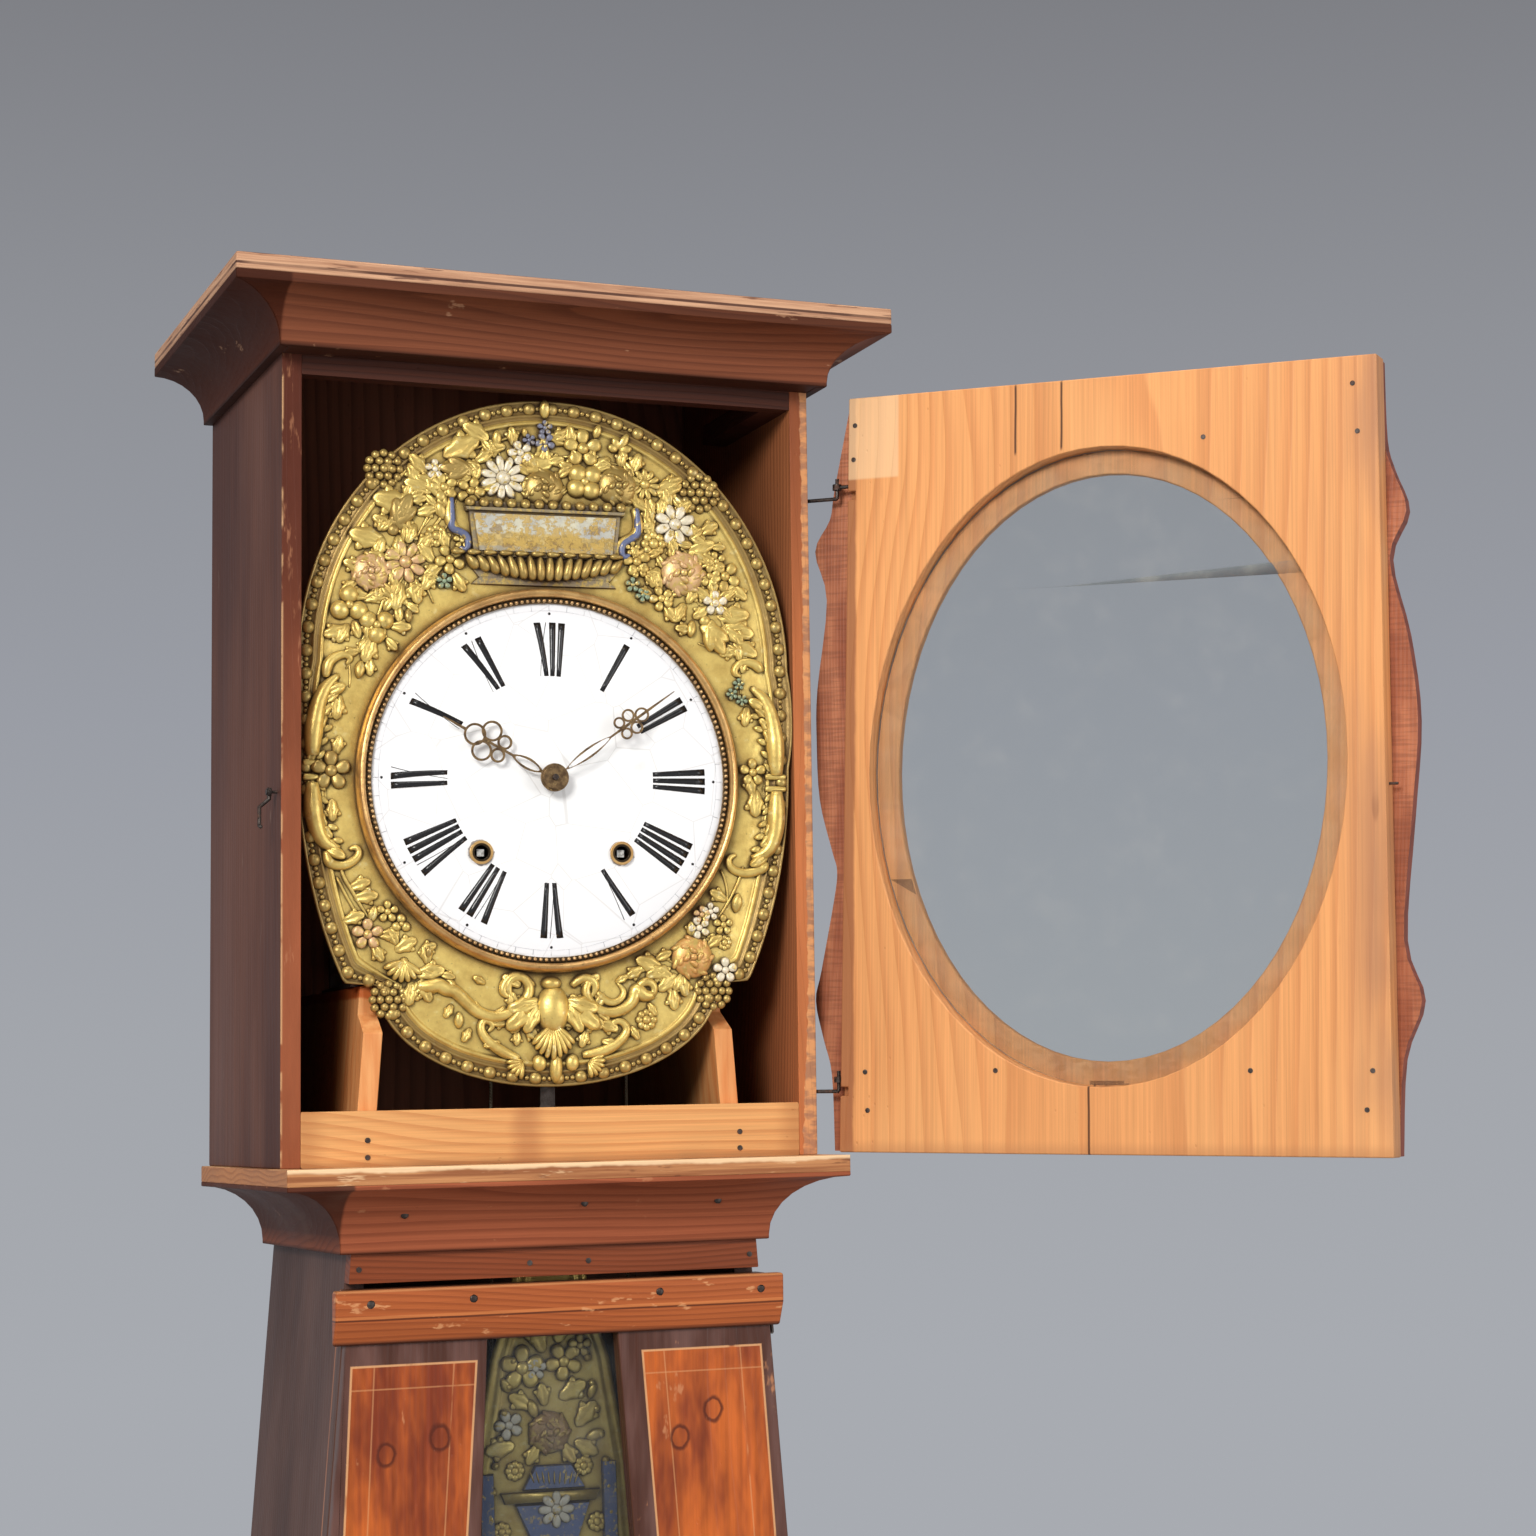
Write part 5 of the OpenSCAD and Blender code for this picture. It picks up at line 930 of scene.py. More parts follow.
def strands(name, text, finish, y):
    """Rounded strands on the sheet, made by a bevelled curve. The text gives a start and an end radius,
    and then each strand's points as x and z in the face's millimetres."""
    data = bpy.data.curves.new(name, "CURVE")
    data.dimensions, data.bevel_depth, data.bevel_resolution, data.resolution_u = "3D", 1.0, 3, 6
    data.use_fill_caps = True
    for row in text.split(";"):
        radii, lines = row.split(":")
        first, last = (float(n) for n in radii.split())
        for line in lines.split(","):
            numbers = [float(n) for n in line.split()]
            end = len(numbers) // 2 - 1
            spline = data.splines.new("NURBS")
            spline.points.add(end)
            spline.order_u, spline.use_endpoint_u = 3, True
            for i, (x, z, target) in enumerate(zip(numbers[::2], numbers[1::2], spline.points)):
                target.co = (x, y, z, 1)
                target.radius = (first + (last - first) * i / end) * (0.55 if i in (0, end) else 1.0)
    temporary = bpy.data.objects.new(name + "_line", data)
    bpy.context.scene.collection.objects.link(temporary)
    mesh = bpy.data.meshes.new_from_object(temporary.evaluated_get(bpy.context.evaluated_depsgraph_get()))
    bm = bmesh.new()
    bm.from_mesh(mesh)
    bpy.data.objects.remove(temporary)
    bpy.data.meshes.remove(mesh)
    bmesh.ops.remove_doubles(bm, verts=bm.verts, dist=0.01)
    piece(name, bm, finish, slot="gilt_brass")


STEMS = """
1.2 0.9: -31 218 -34 222 -35 227, -73 188 -77 180 -84 170; 1.65 1.05: -75 192 -81 177 -91 159, 86 190 92
  184 98 176 104 166; 1.35 0.9: -109 130 -114 124 -119 116, 98 131 103 127 105 122, -62 190 -68 176 -72
  160, 66 190 70 176 68 158, -88 140 -82 128 -78 118, 120 96 112 92 104 96, -134 60 -132 70 -136 84, 134
  60 132 74 134 86, -86 -128 -76 -122 -66 -130, 90 -128 80 -120 70 -118; 1.65 1.2: -140 -58 -138 -66 -132
  -75 -126 -86 -120 -95, -92 158 -104 140 -114 112 -120 92, 88 168 104 150 118 122 126 96, -142 -66 -134
  -84 -120 -104, 134 -58 128 -78 112 -98; 1.35 1.05: 118 -60 124 -72 122 -86; 1.8 1.35: -66 186 -82 164
  -96 140 -108 118, 64 184 80 168 98 150 112 128; 1.5 1.2: -74 176 -90 152 -98 126, -118 104 -128 88 -136
  72, -64 220 -40 228 -20 236, 10 222 34 222 58 216"""
SCROLLS = """
4.2 2.025: -149 66 -149 72 -147 77 -143 80 -138 82 -134 81 -133 78 -136 75, -149 -49 -148 -55 -145 -58
  -137 -59 -129 -54 -127 -49 -130 -46 -134 -48, 150 -55 149 -58 146 -60 136 -63 127 -61 123 -56 124 -51
  129 -50, 148 77 147 80 143 83 136 84 131 81 129 77 131 74 134 74, 58 -141 63 -136 69 -137 71 -142 68
  -146 64 -144; 5.425 2.7: -90 -138 -82 -139 -75 -137 -70 -141 -65 -141 -60 -146 -50 -156 -38 -160 -25
  -156 -16 -147 -14 -139 -19 -132 -26 -131 -32 -137 -33 -144 -28 -146, 70 -145 64 -147 59 -141 57 -143 56
  -150 46 -157 34 -157 25 -149 23 -141 26 -136 22 -132; 3.5 1.89: -70 -142 -66 -139 -67 -135 -71 -134; 3.5
  1.755: 31 -143 36 -149 43 -151 49 -147 50 -141 45 -137; 4.2 1.89: -22 -187 -30 -184 -38 -179 -44 -174
  -48 -167 -46 -161 -41 -162 -39 -166 -43 -169, 21 -185 32 -184 42 -180 50 -173 52 -167 47 -162 41 -164 41
  -168 45 -170; 3.85 2.97: -164 9 -160 10 -154 9, -164 0 -159 -1 -154 0, 150 4 158 5 165 4, 150 -4 158 -5
  165 -4; 4.55 2.16: -66 190 -69 180 -64 168 -57 166 -54 160 -56 155 -61 154, 59 188 64 178 60 168 51 165
  46 160 48 154 54 153; 8.2 3.4: 158 5 158 20 157 36 154 50 149 60 141 66, 158 -6 158 -20 157 -34 154 -44
  148 -50 140 -52, -158 14 -158 26 -156 40 -153 52 -148 62 -141 68, -158 -4 -158 -18 -156 -30 -153 -40
  -147 -46 -140 -47; 4.2 2.6: 14 -139 20 -133 28 -134 31 -141 27 -147, -12 -139 -18 -132 -27 -133 -30 -141
  -26 -147"""
strands("surround_stems", STEMS, gilt("gilt_stems", dull=0.15), 1.2)
strands("surround_scrolls", SCROLLS, gilt("gilt_scrolls", bright=0.2), 1.0)


# Acanthus at the two sides, and the drop of shells and eggs at the foot. Overlapping ribbed leaves that
# curl away from a clasp, and a long boss over a shell.
bm = bmesh.new()
for side, x0, x1, raised in ((-1, -157, -147, 4), (1, 157, 149, 0)):
    for way in (1, -1):
        for k in range(5):
            z = way * (8 + k * 9.5) + raised
            x = x0 + (x1 - x0) * (k / 4) ** 1.5 + side * 2
            turn = (0 if way > 0 else 180) + side * way * (12 + 10 * k)
            puff(bm, (x, 1.2, z), turn, 17 - k, 8.5 - k * 0.6, 4.0, 0.5, 0.35, start=-3, wave=5, detail=3)
            puff(bm, (x - side * 4, 2.0, z), turn + side * way * 34, 10, 5.0, 3.2, 0.4, 0.4, start=-2)
        tip_turn = side * 62 if way > 0 else 180 - side * 62
        puff(bm, (x1, 1.0, way * 52 + raised), tip_turn, 15, 8, 4.4, 0.4, 0.3, start=-3, detail=3)
for x, z, a, b, h in ((1, -155, 11.8, 17.0, 9.0), (0, -137, 7.0, 5.0, 6.0), (3, -193, 4.6, 11.0, 5.0),
                      (-8, -190, 5.0, 6.0, 4.0), (14, -190, 5.0, 6.0, 4.0)):
    for vert in bmesh.ops.create_icosphere(bm, subdivisions=3, radius=1)["verts"]:
        vert.co = (x + vert.co.x * a, 1.8 + vert.co.y * h, z + vert.co.z * b)
for k in range(9):
    puff(bm, (1, 0.8, -163), 180 + (k - 4) * 11, 26 - abs(k - 4) * 1.4, 5.6, 5.6, 0.0, start=0, detail=3)
for side in (-1, 1):
    for turn, long, wide in ((-104, 24, 12), (-128, 30, 14), (-152, 24, 11)):
        puff(bm, (1 + side * 8, 0.8, -149), side * turn, long, wide, 5.8, 0.5, 0.3, wave=5, detail=3)
for side in (-1, 1):
    for k in range(6):
        puff(bm, (3 + side * 22, 1.2, -189), -side * (110 + (k - 2) * 20), 12, 4.4, 3.2, 0.0)
    for x, z, turn, r in ((20, -139, 60, 15), (30, -152, 140, 14), (52, -148, 200, 12), (44, -137, 60, 10),
                          (66, -150, 150, 11), (34, -176, 100, 12), (54, -166, 150, 11), (24, -170, 40, 10)):
        puff(bm, (side * x, 1.4, z), -side * turn, r, r * 0.55, 3.6, 0.5, 0.35, wave=5, detail=3)
piece("surround_leafwork", bm, gilt("gilt_leafwork", bright=0.25), slot="gilt_brass")


# Urn of the surround. A boat-shaped vase with broad gadroons on a foot, a framed panel with the worn
# remains of a painted landscape, a rim of pearls and two painted handles.
def plate(bm, corners, front, back, inset=0.0):
    """A plate with four corners, given as x and z from the top left one clockwise."""
    for vert in bmesh.ops.create_cube(bm, size=2)["verts"]:
        left, low, near = vert.co.x < 0, vert.co.z < 0, vert.co.y < 0
        x, z = corners[(3 if left else 2) if low else (0 if left else 1)]
        slope = inset * near
        vert.co = (x + (slope if left else -slope), front if near else back, z + (slope if low else -slope))


bm = bmesh.new()
for k in range(12):
    ball(bm, (-54 + k * 9.4, -3.4, 187), 3.6, 0.9)
for k in range(16):
    t = k / 7.5 - 1
    puff(bm, (-3 + 53 * t, -0.6 + 1.4 * t * t, 152 - 0.5 * t * t), 180 - 40 * t, 19.5 - 5.5 * t * t, 8.2, 6.0,
         0.0, start=-2, detail=3)
for k in range(11):
    t = k / 5 - 1
    puff(bm, (-3 + 54 * t, -3.6, 153), 90, 10, 4.6, 3.0, 0.0)
piece("surround_urn", bm, gilt("gilt_urn", bright=0.15, dull=0.5), slot="gilt_brass")
bm = bmesh.new()
plate(bm, ((-56, 189), (51, 189), (47, 150), (-52, 150)), -2.2, 3.0, 1.0)
plate(bm, ((-58, 184.5), (53, 184.5), (52, 181.0), (-57, 181.0)), -5.4, 3.0, 0.8)
plate(bm, ((-60, 152), (55, 152), (43, 136), (-48, 136)), 0.2, 3.0, 0.8)
plate(bm, ((-47, 138), (41, 138), (47, 131.5), (-53, 131.5)), 0.2, 3.0, 0.8)
piece("surround_urn_body", bm, gilt("gilt_urn_body", (92, 96, 112), 0.62, 0.25), slot="gilt_brass",
      smooth=False)
HANDLES = """3.0 2.4: -66 190 -66 176 -66 169 -60 167 -55 164 -55 156 -58 154 -61 157,
  61 188 62 178 62 170 56 166 51 163 50 156 53 153 56 156"""
strands("surround_urn_handles", HANDLES, gilt("painted_handles", (92, 106, 146), 0.95, 0.2), -0.4)

f = Finish("urn_landscape")
to_face(f)
x, y, z = f.split()
wave = (f.noise(60, 3) - 0.5) * 0.012
sky = f.patches((214, 208, 180), (176, 176, 172), 60, 0.35, 0.7)
hill = f.patches((206, 178, 110), (170, 146, 92), 200, 0.4, 0.6)
view = f.mix(hill, sky, (z + wave).band(0.1655, 0.1675))
view = f.mix(view, tone(150, 152, 148), (z + wave * 0.3).band(0.1575, 0.1585, 1, 0) * 0.6)
for tree_x, tree_z, size in ((-0.036, 0.170, 0.005), (0.031, 0.171, 0.005), (0.002, 0.1605, 0.006),
                             (0.014, 0.1600, 0.004), (-0.012, 0.159, 0.005), (0.024, 0.159, 0.004),
                             (-0.028, 0.1585, 0.004)):
    crown = ((x - tree_x) ** 2 + ((z - tree_z) * 1.3) ** 2).math("SQRT")
    crown = crown + (f.noise(330, 4) - 0.5) * 0.012
    view = f.mix(view, tone(134, 104, 58), crown.band(size * 0.7, size, 0.7, 0))
worn = f.noise(150, 4, 0.75).band(0.45, 0.54)
view = f.mix(view, tone(204, 170, 92), worn * 0.85)
brushed = f.bump(f.noise(420, 4) + worn * 0.6, 0.0008, 0.7)
scenery = f.close(view, f.noise(600) * 0.3 + 0.35, worn * 0.5, brushed)
bm = bmesh.new()
plate(bm, ((-52, 180.5), (47, 180.5), (44, 154), (-48, 154)), -3.4, 0.0, 0.6)
piece("surround_urn_panel", bm, scenery, slot="gilt_brass", smooth=False)


# Bezel and dial. A turned brass ring with a row of tiny beads inside it holds a domed copper plate with
# white enamel, whose numerals and dots are fired in black and its minute track in a faded grey.
def metal(name, light, dark, specks_and_shade, gloss=0.3, shine=0.85, painted_shade=None):
    """Plain metal with tarnish in patches, dark specks and fine scratches, and painted shade where it is
    given.
    """
    f = Finish(name)
    light, dark, specks_and_shade = tone(*light), tone(*dark), tone(*specks_and_shade)
    patch = f.noise(50, 4, 0.6)
    fine = f.noise(1200, 3, 0.6)
    speck = f.noise(260, 4, 0.7, (4, 2, 1)).band(0.58, 0.7)
    open_air = f.crevice(0.005)
    colour = f.mix(light, dark, patch.band(0.32, 0.7))
    colour = f.mix(colour, specks_and_shade, speck * 0.6)
    # Crevices take the speck colour: tarnish and painted shade.
    colour = f.mix(colour, specks_and_shade, open_air.band(0.3, 0.8, 0.85, 0))
    if painted_shade:
        colour = f.mix(colour, tone(30, 24, 20), painted_shade(f))
    rough = patch * 0.18 + speck * 0.2 + gloss - 0.08
    return f.close(colour, rough, shine, f.bump(fine, 0.0003, 0.4))


# Radii and places on the dial in the face's millimetres. The winding holes lie below the hands' axis.
DIAL_R, DIAL_DOME, BEAD_R, TRACK_R, DOT_R = 120.0, 6.0, 121.6, 115.0, 113.0
WINDING_X, WINDING_Z = 47.6, -49.8


def from_winding(x, z, side=None):
    """Distance in metres from a winding hole's middle, on one side of the face or on both."""
    across = x.math("ABSOLUTE") - WINDING_X * MM if side is None else x - WINDING_X * MM * side
    return (across ** 2 + (z - WINDING_Z * MM) ** 2).math("SQRT")


def bezel_painted_shade(f):
    """Painted shade in the groove under the beads and in the throats of the two winding holes."""
    to_face(f)
    x, y, z = f.split()
    far = (x * x + z * z).math("SQRT")
    groove = (far - BEAD_R * MM).math("ABSOLUTE").band(0.0016, 0.0021, 0.85, 0)
    throat = from_winding(x, z).band(0.0060, 0.0064, 0.95, 0)
    return groove.math("MAXIMUM", throat)


soften("bezel", 0.25, metal("bezel_brass", (242, 196, 126), (196, 150, 92), (104, 72, 44), 0.3, 0.75,
                            painted_shade=bezel_painted_shade))
bm = bmesh.new()
for k in range(200):
    x, z = polar(BEAD_R, 360 * k / 200)
    ball(bm, (x, -3.0, z), 1.55, 1.0, 1)
piece("bezel_beads", bm, metal("bead_brass", (226, 186, 130), (176, 138, 92), (74, 52, 34), 0.3, 0.6),
      slot="brass")

f = Finish("white_enamel")
to_face(f)
x, y, z = f.split()
far = (x * x + z * z).math("SQRT")
white = f.mix(tone(252, 252, 251), tone(242, 242, 244), far.band(0.07, 0.12))
white = f.mix(white, tone(222, 220, 216), f.noise(26, 4, 0.6).band(0.62, 0.82) * 0.5)
white = f.mix(white, tone(150, 136, 116), far.band(0.1175, 0.121) * f.noise(60, 3).band(0.4, 0.6) * 0.7)
for side in (-1, 1):
    uneven = from_winding(x, z, side) + (f.noise(170, 3) - 0.5) * 0.006
    chip = uneven.band(0.0078, 0.0088, 1, 0)
    white = f.mix(white, tone(120, 110, 102), chip * 0.8)
fine_crack = f.cells(26, "DISTANCE_TO_EDGE", (7, 3, 1)).band(0.004, 0.012, 1, 0)
white = f.mix(white, tone(196, 192, 188), fine_crack * 0.35)
soften("dial", 0.3, f.close(white, f.noise(30, 2) * 0.12 + 0.12, 0.0, f.bump(
    f.noise(24, 2) + fine_crack * -0.2, 0.0006, 0.25), Coat_Weight=0.35))


def on_dial(r, a, above):
    """A place on the domed dial, r from its middle and a clockwise from the top."""
    return r * math.sin(a), -DIAL_DOME * (1 - (r / DIAL_R) ** 2) - above, r * math.cos(a)


def mark(bm, angle, low, high, u0, u1, width, steps=7):
    """A stroke from distance low to high, slanting from u0 to u1 across the numeral at that angle."""
    made = bmesh.ops.create_grid(bm, x_segments=1, y_segments=steps, size=1)["verts"]
    for vert in made:
        t = (vert.co.y + 1) / 2
        r = low + (high - low) * t
        a = math.radians(angle) + (u0 + (u1 - u0) * t + vert.co.x * width / 2) / NUMERAL_R
        vert.co = on_dial(r, a, 0.12)


# Numerals from radius LOW to HIGH, spaced at NUMERAL_R, and their thick and thin strokes. Each letter
# has its advance and its strokes, and a stroke has its foot, its head and its width.
LOW, HIGH, NUMERAL_R, THICK, THIN = 70.0, 107.0, 88.5, 3.8, 0.4
LETTERS = {"I": (5.3, ((0, 0, THICK),)), "V": (8.6, ((0.6, -2.2, THICK), (0.9, 3.4, THIN))),
           "X": (8.6, ((1.9, -1.9, THICK), (-3.2, 3.2, THIN)))}
bm = bmesh.new()
for hour, numeral in enumerate("XII I II III IIII V VI VII VIII IX X XI".split()):
    wide = sum(LETTERS[c][0] for c in numeral)
    left = -wide / 2
    for c in numeral:
        advance, strokes = LETTERS[c]
        middle = left + advance / 2
        for foot_u, head_u, width in strokes:
            mark(bm, 30 * hour, LOW, HIGH, middle + foot_u, middle + head_u, width)
        left += advance
for hour in range(12):
    a = math.radians(30 * hour)
    for vert in bmesh.ops.create_circle(bm, cap_ends=True, cap_tris=True, segments=16, radius=0.95)["verts"]:
        x, y, z = on_dial(DOT_R, a, 0.15)
        vert.co = (vert.co.x + x, y, vert.co.y + z)
f = Finish("dial_black")
worn = f.noise(160, 4, 0.7)
printed = f.close(f.mix(tone(28, 27, 28), tone(92, 90, 90), worn.band(0.62, 0.8)), worn * 0.2 + 0.15, 0.0,
                  f.bump(worn, 0.0002, 0.3))
piece("dial_numerals", bm, printed, solid=0.06)
bm = bmesh.new()
for minute in range(60):
    mark(bm, 6 * minute, TRACK_R, 118.6, 0, 0, 0.2, 1)
for vert in bmesh.ops.create_grid(bm, x_segments=240, y_segments=1, size=1)["verts"]:
    vert.co = on_dial(TRACK_R + vert.co.y * 0.08, math.pi * vert.co.x, 0.1)
bmesh.ops.remove_doubles(bm, verts=bm.verts, dist=0.001)
f = Finish("dial_grey")
faded = f.noise(90, 4, 0.7)
grey = f.mix(tone(150, 152, 158), tone(222, 222, 224), faded.band(0.42, 0.6))
piece("dial_track", bm, f.close(grey, faded * 0.2 + 0.2, 0.0, f.bump(faded, 0.0002, 0.3)), solid=0.05)


# Winding arbors' rims and squares. Brass rims set in the enamel, and the steel squares that the key
# fits, dark with old oil.
SQUARE_Y = -0.0015
f = Finish("barrel_brass")
to_face(f)
x, y, z = f.split()
steel = y.band(0.012, 0.014, 1, 0)
grime = f.noise(500, 3)
body_colour = f.patches((206, 168, 104), (150, 118, 66), 60, 0.35, 0.7)
side_colour = f.mix(tone(58, 54, 52), tone(30, 28, 27), grime.band(0.4, 0.6))
end = y.band(SQUARE_Y + 0.0003, SQUARE_Y + 0.0008, 1, 0)
end_colour = f.mix(tone(226, 224, 218), tone(170, 166, 160), grime.band(0.45, 0.6))
barrel_brass = f.close(f.mix(f.mix(body_colour, side_colour, steel), end_colour, end), grime * 0.2 + 0.25,
                       end * -0.7 + 0.85, f.bump(grime, 0.0002, 0.4))
for node in ("going_barrel", "strike_barrel"):
    soften(node, 0.2, barrel_brass)


# Movement. Blacksmith-made iron cage with upright bars, brass wheels cut with slender arms, the
# anchor with its crutch, and above them the bell with its hammer.
wheel_brass = metal("wheel_brass", (206, 170, 104), (162, 128, 72), (92, 68, 42), 0.3, 0.85)
cage_iron = wrought("cage_iron", 0.7, 0.35)
for node in ("going_great_wheel", "second_wheel", "third_wheel", "escape_wheel", "strike_great_wheel",
             "pin_wheel", "locking_wheel", "fly", "minute_wheel"):
    soften(node, 0, wheel_brass)
for node in ("cage", "arbor_bars", "suspension_cock", "anchor", "hammer"):
    soften(node, 0.35, cage_iron)
soften("turn_button", 0.4, metal("knob_brass", (196, 156, 96), (140, 106, 62), (70, 48, 30), 0.35, 0.8))
soften("bell", 0.3, metal("bell_metal", (178, 150, 96), (128, 106, 68), (70, 58, 40), 0.25, 0.9))


# Hands. Cut from thin brass sheet, bronzed brown with the gilding rubbed through; the collet on the
# minute hand is held by a small square pin.
f = Finish("hand_bronze")
rub = f.noise(220, 4, 0.65)
tint = f.mix(tone(150, 122, 84), tone(96, 74, 52), rub.band(0.35, 0.65))
tint = f.mix(tint, tone(206, 172, 112), f.noise(400, 3, shift=(3, 0, 0)).band(0.6, 0.72) * 0.6)
bronze = f.close(tint, rub * 0.25 + 0.25, 0.75, f.bump(rub, 0.0002, 0.5))
for node in ("minute_hand", "hour_hand"):
    soften(node, 0.18, bronze)
bm = bmesh.new()
plate(bm, ((-2.6, 0), (0, 2.6), (2.6, 0), (0, -2.6)), -18.9, -17.5, 0.3)
piece("hand_pin", bm, metal("pin_steel", (178, 168, 150), (120, 108, 92), (60, 50, 40), 0.3),
      "minute_hand")


# Nails of the ledge's cove and of the door's moulding. Forged heads of uneven outline, driven flush and
# rusted dark into the wood.
rng = random.Random(5)
nail_iron = wrought("nail_iron", 0.35, 0.4)
for name, node, body, places in (
        ("cove_nails", "ledge_cove", "case", ((-106, 1709), (13, 1713), (106, 1712))),
        ("moulding_nails", "trunk_door_moulding", "trunk_door",
         ((-129, 1653), (-62, 1654), (64, 1653), (135, 1652)))):
    bm = bmesh.new()
    for x, z in places:
        surface = cad[node].ray_cast((x * MM, -1, z * MM), (0, 1, 0))[1].y / MM
        for vert in bmesh.ops.create_icosphere(bm, subdivisions=2, radius=2.7)["verts"]:
            vert.co = vert.co * rng.uniform(0.94, 1.06)
            vert.co = (vert.co.x + x, vert.co.y * 0.25 + surface, vert.co.z + z)
    piece(name, bm, nail_iron, body, slot="iron", place=Matrix.Scale(MM, 4))


# Weights and lines. Two rough iron cylinders on twisted gut lines that run up to the barrels.
f = Finish("rough_cast_iron")
pits = f.noise(120, 5, 0.7)
rust = f.noise(40, 4, 0.6, (5, 5, 1)).band(0.5, 0.68)
scale = f.mix(tone(70, 68, 68), tone(44, 42, 42), pits.band(0.4, 0.6))
cast = f.close(f.mix(scale, tone(92, 56, 38), rust * 0.6), pits * 0.3 + rust * 0.2 + 0.4, rust * -0.5 + 0.75,
               f.bump(pits, 0.0012, 0.8))
for node in ("going_weight", "strike_weight"):
    soften(node, 1.2, cast)
f = Finish("gut_line")
x, y, z = f.split()
twist = ((z * 3000) + (x * 6000) + (y * 6000)).math("SINE")
gut = f.mix(tone(176, 164, 140), tone(110, 98, 78), twist.band(-0.6, 0.6))
gut_line = f.close(f.mix(gut, tone(84, 72, 58), f.noise((60, 60, 24), 3).band(0.5, 0.7) * 0.6),
                   f.noise(300) * 0.3 + 0.5, 0.0, f.bump(twist, 0.0002, 0.8))
for node in ("going_line", "strike_line"):
    soften(node, 0, gut_line)


# Pendulum. A flat iron rod, and on it a lyre of stamped brass with a large round bob, edged with two
# ribs and filled with flowers; old lacquer has turned it brown-olive.
soften("pendulum_rod", 0.3, wrought("rod_iron", 0.8, 0.25))
# Half widths of the lyre from its foot up, in millimetres from the hands' axis, over the round bob, and
# the ribs along its edge, each with its height, its distance from the edge and its thickness.
LYRE_Z = (-750, -700, -640, -580, -520, -455, -420, -385, -345, -325)
LYRE_W = (70, 72, 60, 50, 58, 52, 46, 40, 27, 24)
BOB_Z, BOB_R, BOSS_R, BOSS_RISE, SHEET_Y = -896.0, 115.0, 70, 3.0, 12.9
RIBS = ((1.4, 3, 1.6), (1.6, 9, 1.8))


def half_width(z):
    lyre = np.interp(z, LYRE_Z, LYRE_W) if z > LYRE_Z[0] else 60.0 * (z > BOB_Z)
    inside = BOB_R ** 2 - (z - BOB_Z) ** 2
    return max(lyre, math.sqrt(inside) if inside > 0 else 0.0)


rows = list(np.arange(-325, -800, -5.0))
rows += [BOB_Z + BOB_R * math.cos(a) for a in np.linspace(0.60, math.pi - 0.02, 60)]
bm = bmesh.new()
for vert in bmesh.ops.create_grid(bm, x_segments=48, y_segments=len(rows) - 1, size=1)["verts"]:
    z = rows[round((vert.co.y + 1) / 2 * (len(rows) - 1))]
    wide = half_width(z)
    x = vert.co.x * wide
    inset = wide - abs(x)
    rise = sum(high * math.exp(-((inset - at) / thick) ** 2) for high, at, thick in RIBS)
    off = math.hypot(x, z - BOB_Z)
    if off < BOSS_R:
        rise += BOSS_RISE * (1 - (off / BOSS_R) ** 2)
    vert.co = (x, SHEET_Y - rise, z)
piece("pendulum_sheet_brass", bm, gilt("dull_gilt", dull=0.30), "pendulum", ["pendulum_sheet"], "dull_gilt",
      solid=0.9)


def on_sheet(name, shapes, finish):
    """Stamped shapes on the pendulum, drawn with the surround's kinds and then set on its sheet."""
    bm = bmesh.new()
    for kind, x, z, r, turn in shapes:
        motif(bm, kind, x, z, r, turn)
    for vert in bm.verts:
        on_vase = -500 < vert.co.z < -468 and abs(vert.co.x) < 20
        vert.co.y = vert.co.y * 0.62 + (8.4 if on_vase else 10.8)
    piece(name, bm, finish, "pendulum", slot="dull_gilt")


lyre_gold = [("flower5", -19, -391, 13, 0), ("flower5", 9, -388, 11, 30), ("flower5", 20, -378, 7, 0),
             ("leaf", -20, -413, 7, 60), ("leaf", 15, -407, 8, -60), ("leaf", -5, -409, 6, 10),
             ("leaf", 24, -423, 8, -40), ("bud", 30, -437, 6, -70), ("leaf", 24, -445, 7, -120),
             ("leaf", -34, -443, 8, 100), ("bud", -12, -418, 6, 20), ("button", -24, -458, 6, 0),
             ("button", 22, -457, 6, 0), ("leaf", -12, -448, 6, 150), ("leaf", 12, -448, 6, -150),
             ("bud", 28, -408, 5, -20), ("bud", -30, -402, 5, 30), ("button", -33, -497, 6, 0),
             ("button", 31, -494, 6, 0), ("leaf", -8, -372, 8, 20), ("leaf", 8, -366, 8, -20)]
lyre_brown = [("rose", -1, -434, 12, 0)]
lyre_white = [("flower5", -10, -392, 6.5, 0), ("flower5", -28, -428, 8.5, 20),
              ("daisy8", 3, -484, 10.5, 0)]
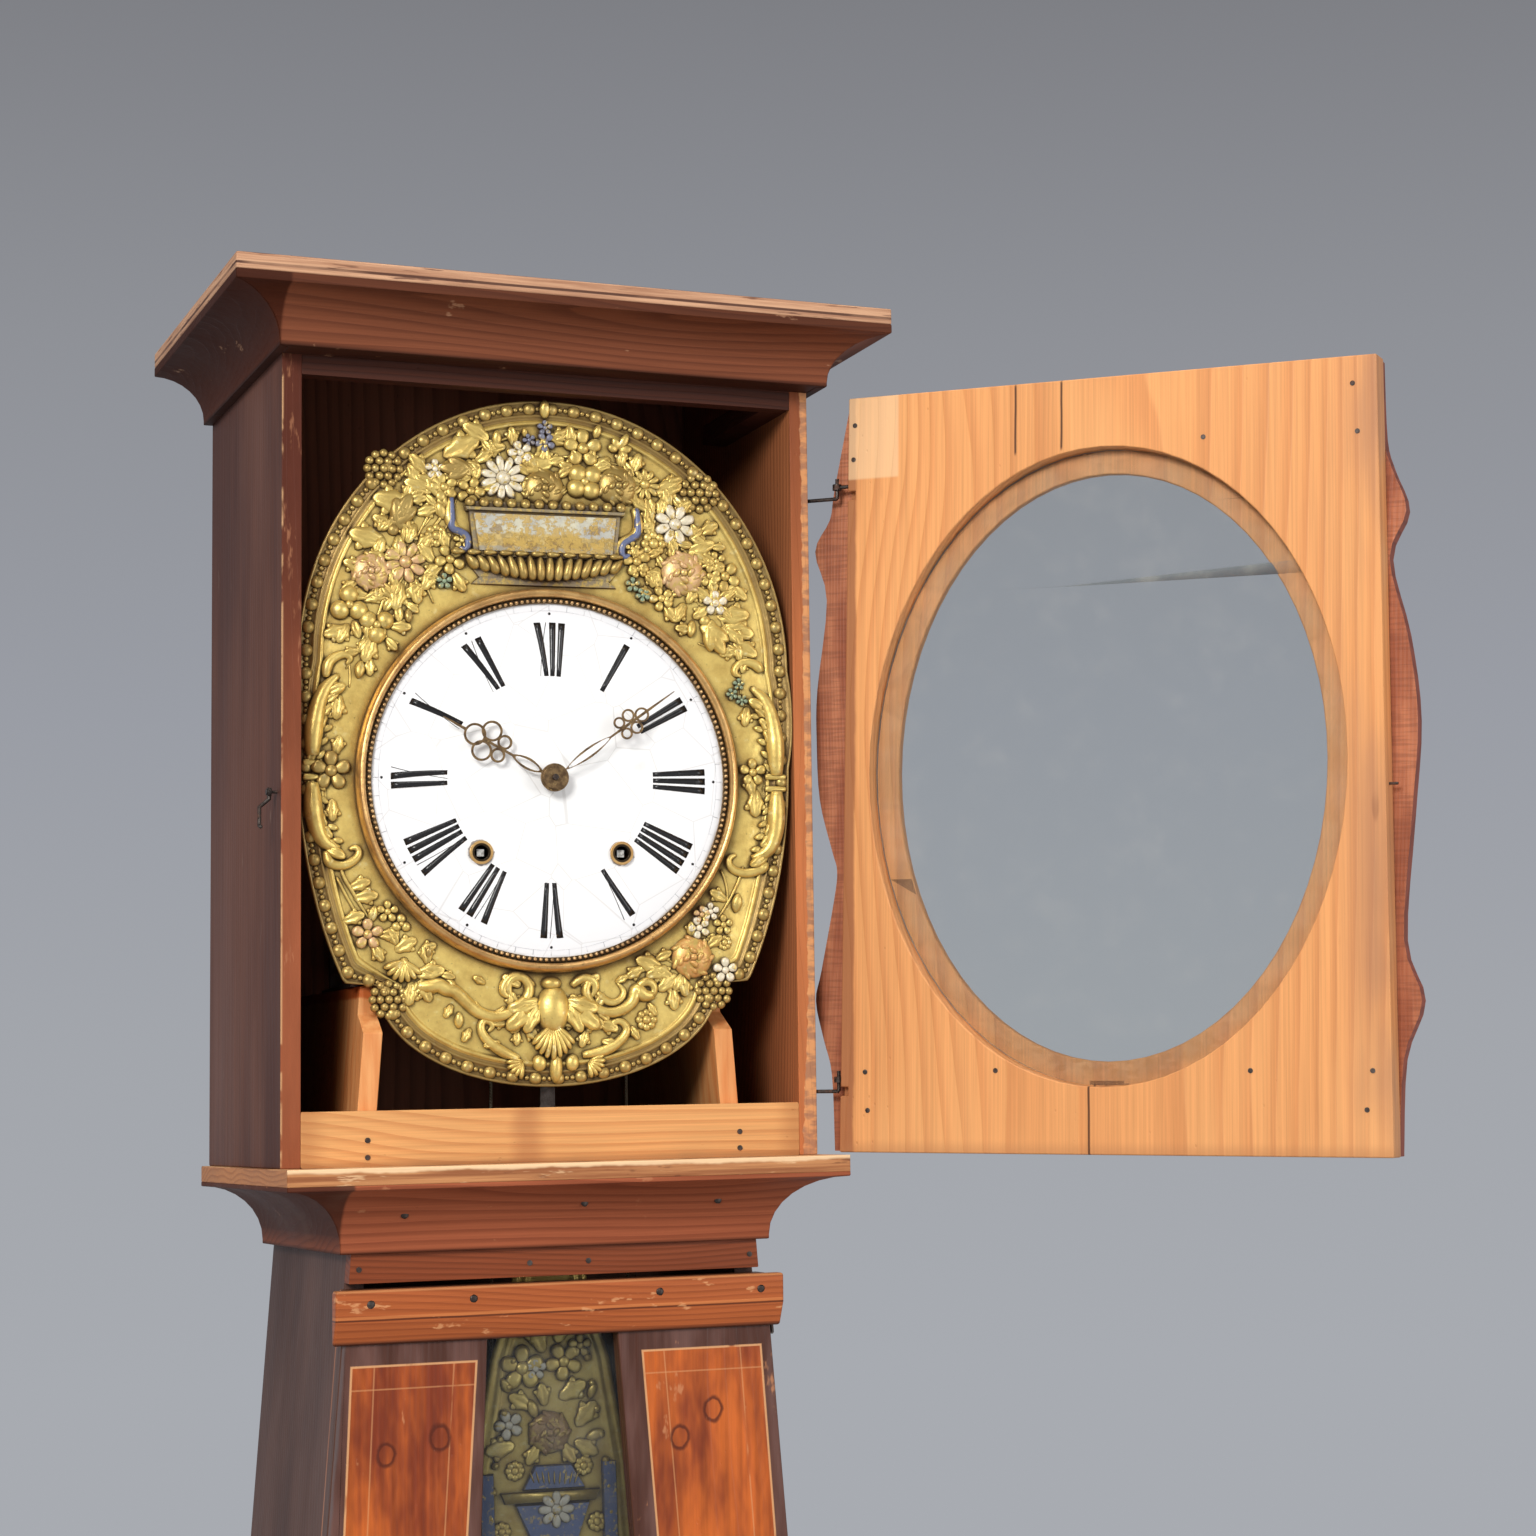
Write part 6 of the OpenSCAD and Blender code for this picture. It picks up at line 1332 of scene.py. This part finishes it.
for k, z in enumerate(range(-530, -735, -32)):
    wide = half_width(z) - 20
    for side in (-1, 1):
        lyre_gold.append(("leaf", side * wide * 0.75, z, 9, -side * (120 + 20 * (k % 3))))
        lyre_gold.append(("bud", side * wide * 0.4, z - 14, 6, -side * 40))
    if k % 3 == 0:
        lyre_white.append(("daisy8", 8 * (-1) ** k, z - 10, 11, 10 * k))
    elif k % 3 == 1:
        lyre_brown.append(("rose", -4, z - 8, 14, 0))
    else:
        lyre_gold.append(("flower5", 2, z - 6, 13, 15))
for k in range(16):
    over, up = polar(86, 22.5 * k)
    lyre_gold.append(("leaf", over, BOB_Z + up, 9, 22.5 * k - 30))
for k in range(8):
    over, up = polar(58, 45 * k + 22.5)
    lyre_white.append(("flower5", over, BOB_Z + up, 11, 20 * k))
lyre_brown.append(("rose", 0, BOB_Z, 17, 0))
on_sheet("pendulum_leaves", lyre_gold, gilt("lyre_gold", dull=0.20, bright=0.25))
on_sheet("pendulum_roses", lyre_brown, gilt("lyre_brown", (140, 100, 74), 0.75, 0.4))
on_sheet("pendulum_daisies", lyre_white, gilt("lyre_white", (206, 200, 188), 0.85, 0.3))
bm = bmesh.new()
for corners in (((-48, -459), (-38, -459), (-36, -545), (-46, -545)),
                ((34, -454), (44, -454), (46, -545), (36, -545)),
                ((-11, -455), (14, -455), (23, -471), (-19, -471)),
                ((-24, -480), (26, -480), (17, -508), (-12, -508)),
                ((-44, -538), (42, -538), (42, -546), (-44, -546)),
                ((-9, -508), (12, -508), (16, -538), (-13, -538))):
    plate(bm, corners, 9.2, 12.6, 0.9)
piece("pendulum_blue_vase", bm, gilt("lyre_blue", (84, 102, 148), 0.92, 0.2), "pendulum",
      slot="dull_gilt", smooth=False)
bm = bmesh.new()
plate(bm, ((-34, -472), (33, -472), (30, -479.5), (-31, -479.5)), 8.6, 12.6, 0.8)
for k in range(9):
    puff(bm, (-15 + 4.2 * k, 9.6, -457 - 0.2 * k), 180 + (4 - k) * 5, 11, 1.3, 1.4, 0.0, detail=1)
for side in (-1, 1):
    for k in range(11):
        ball(bm, (side * (half_width(-352 - 17 * k) - 15), 11.2, -352 - 17 * k), 2.6, 0.9, 2)
piece("pendulum_vase_bands", bm, gilt("lyre_bands", dull=0.35, bright=0.2), "pendulum", slot="dull_gilt")
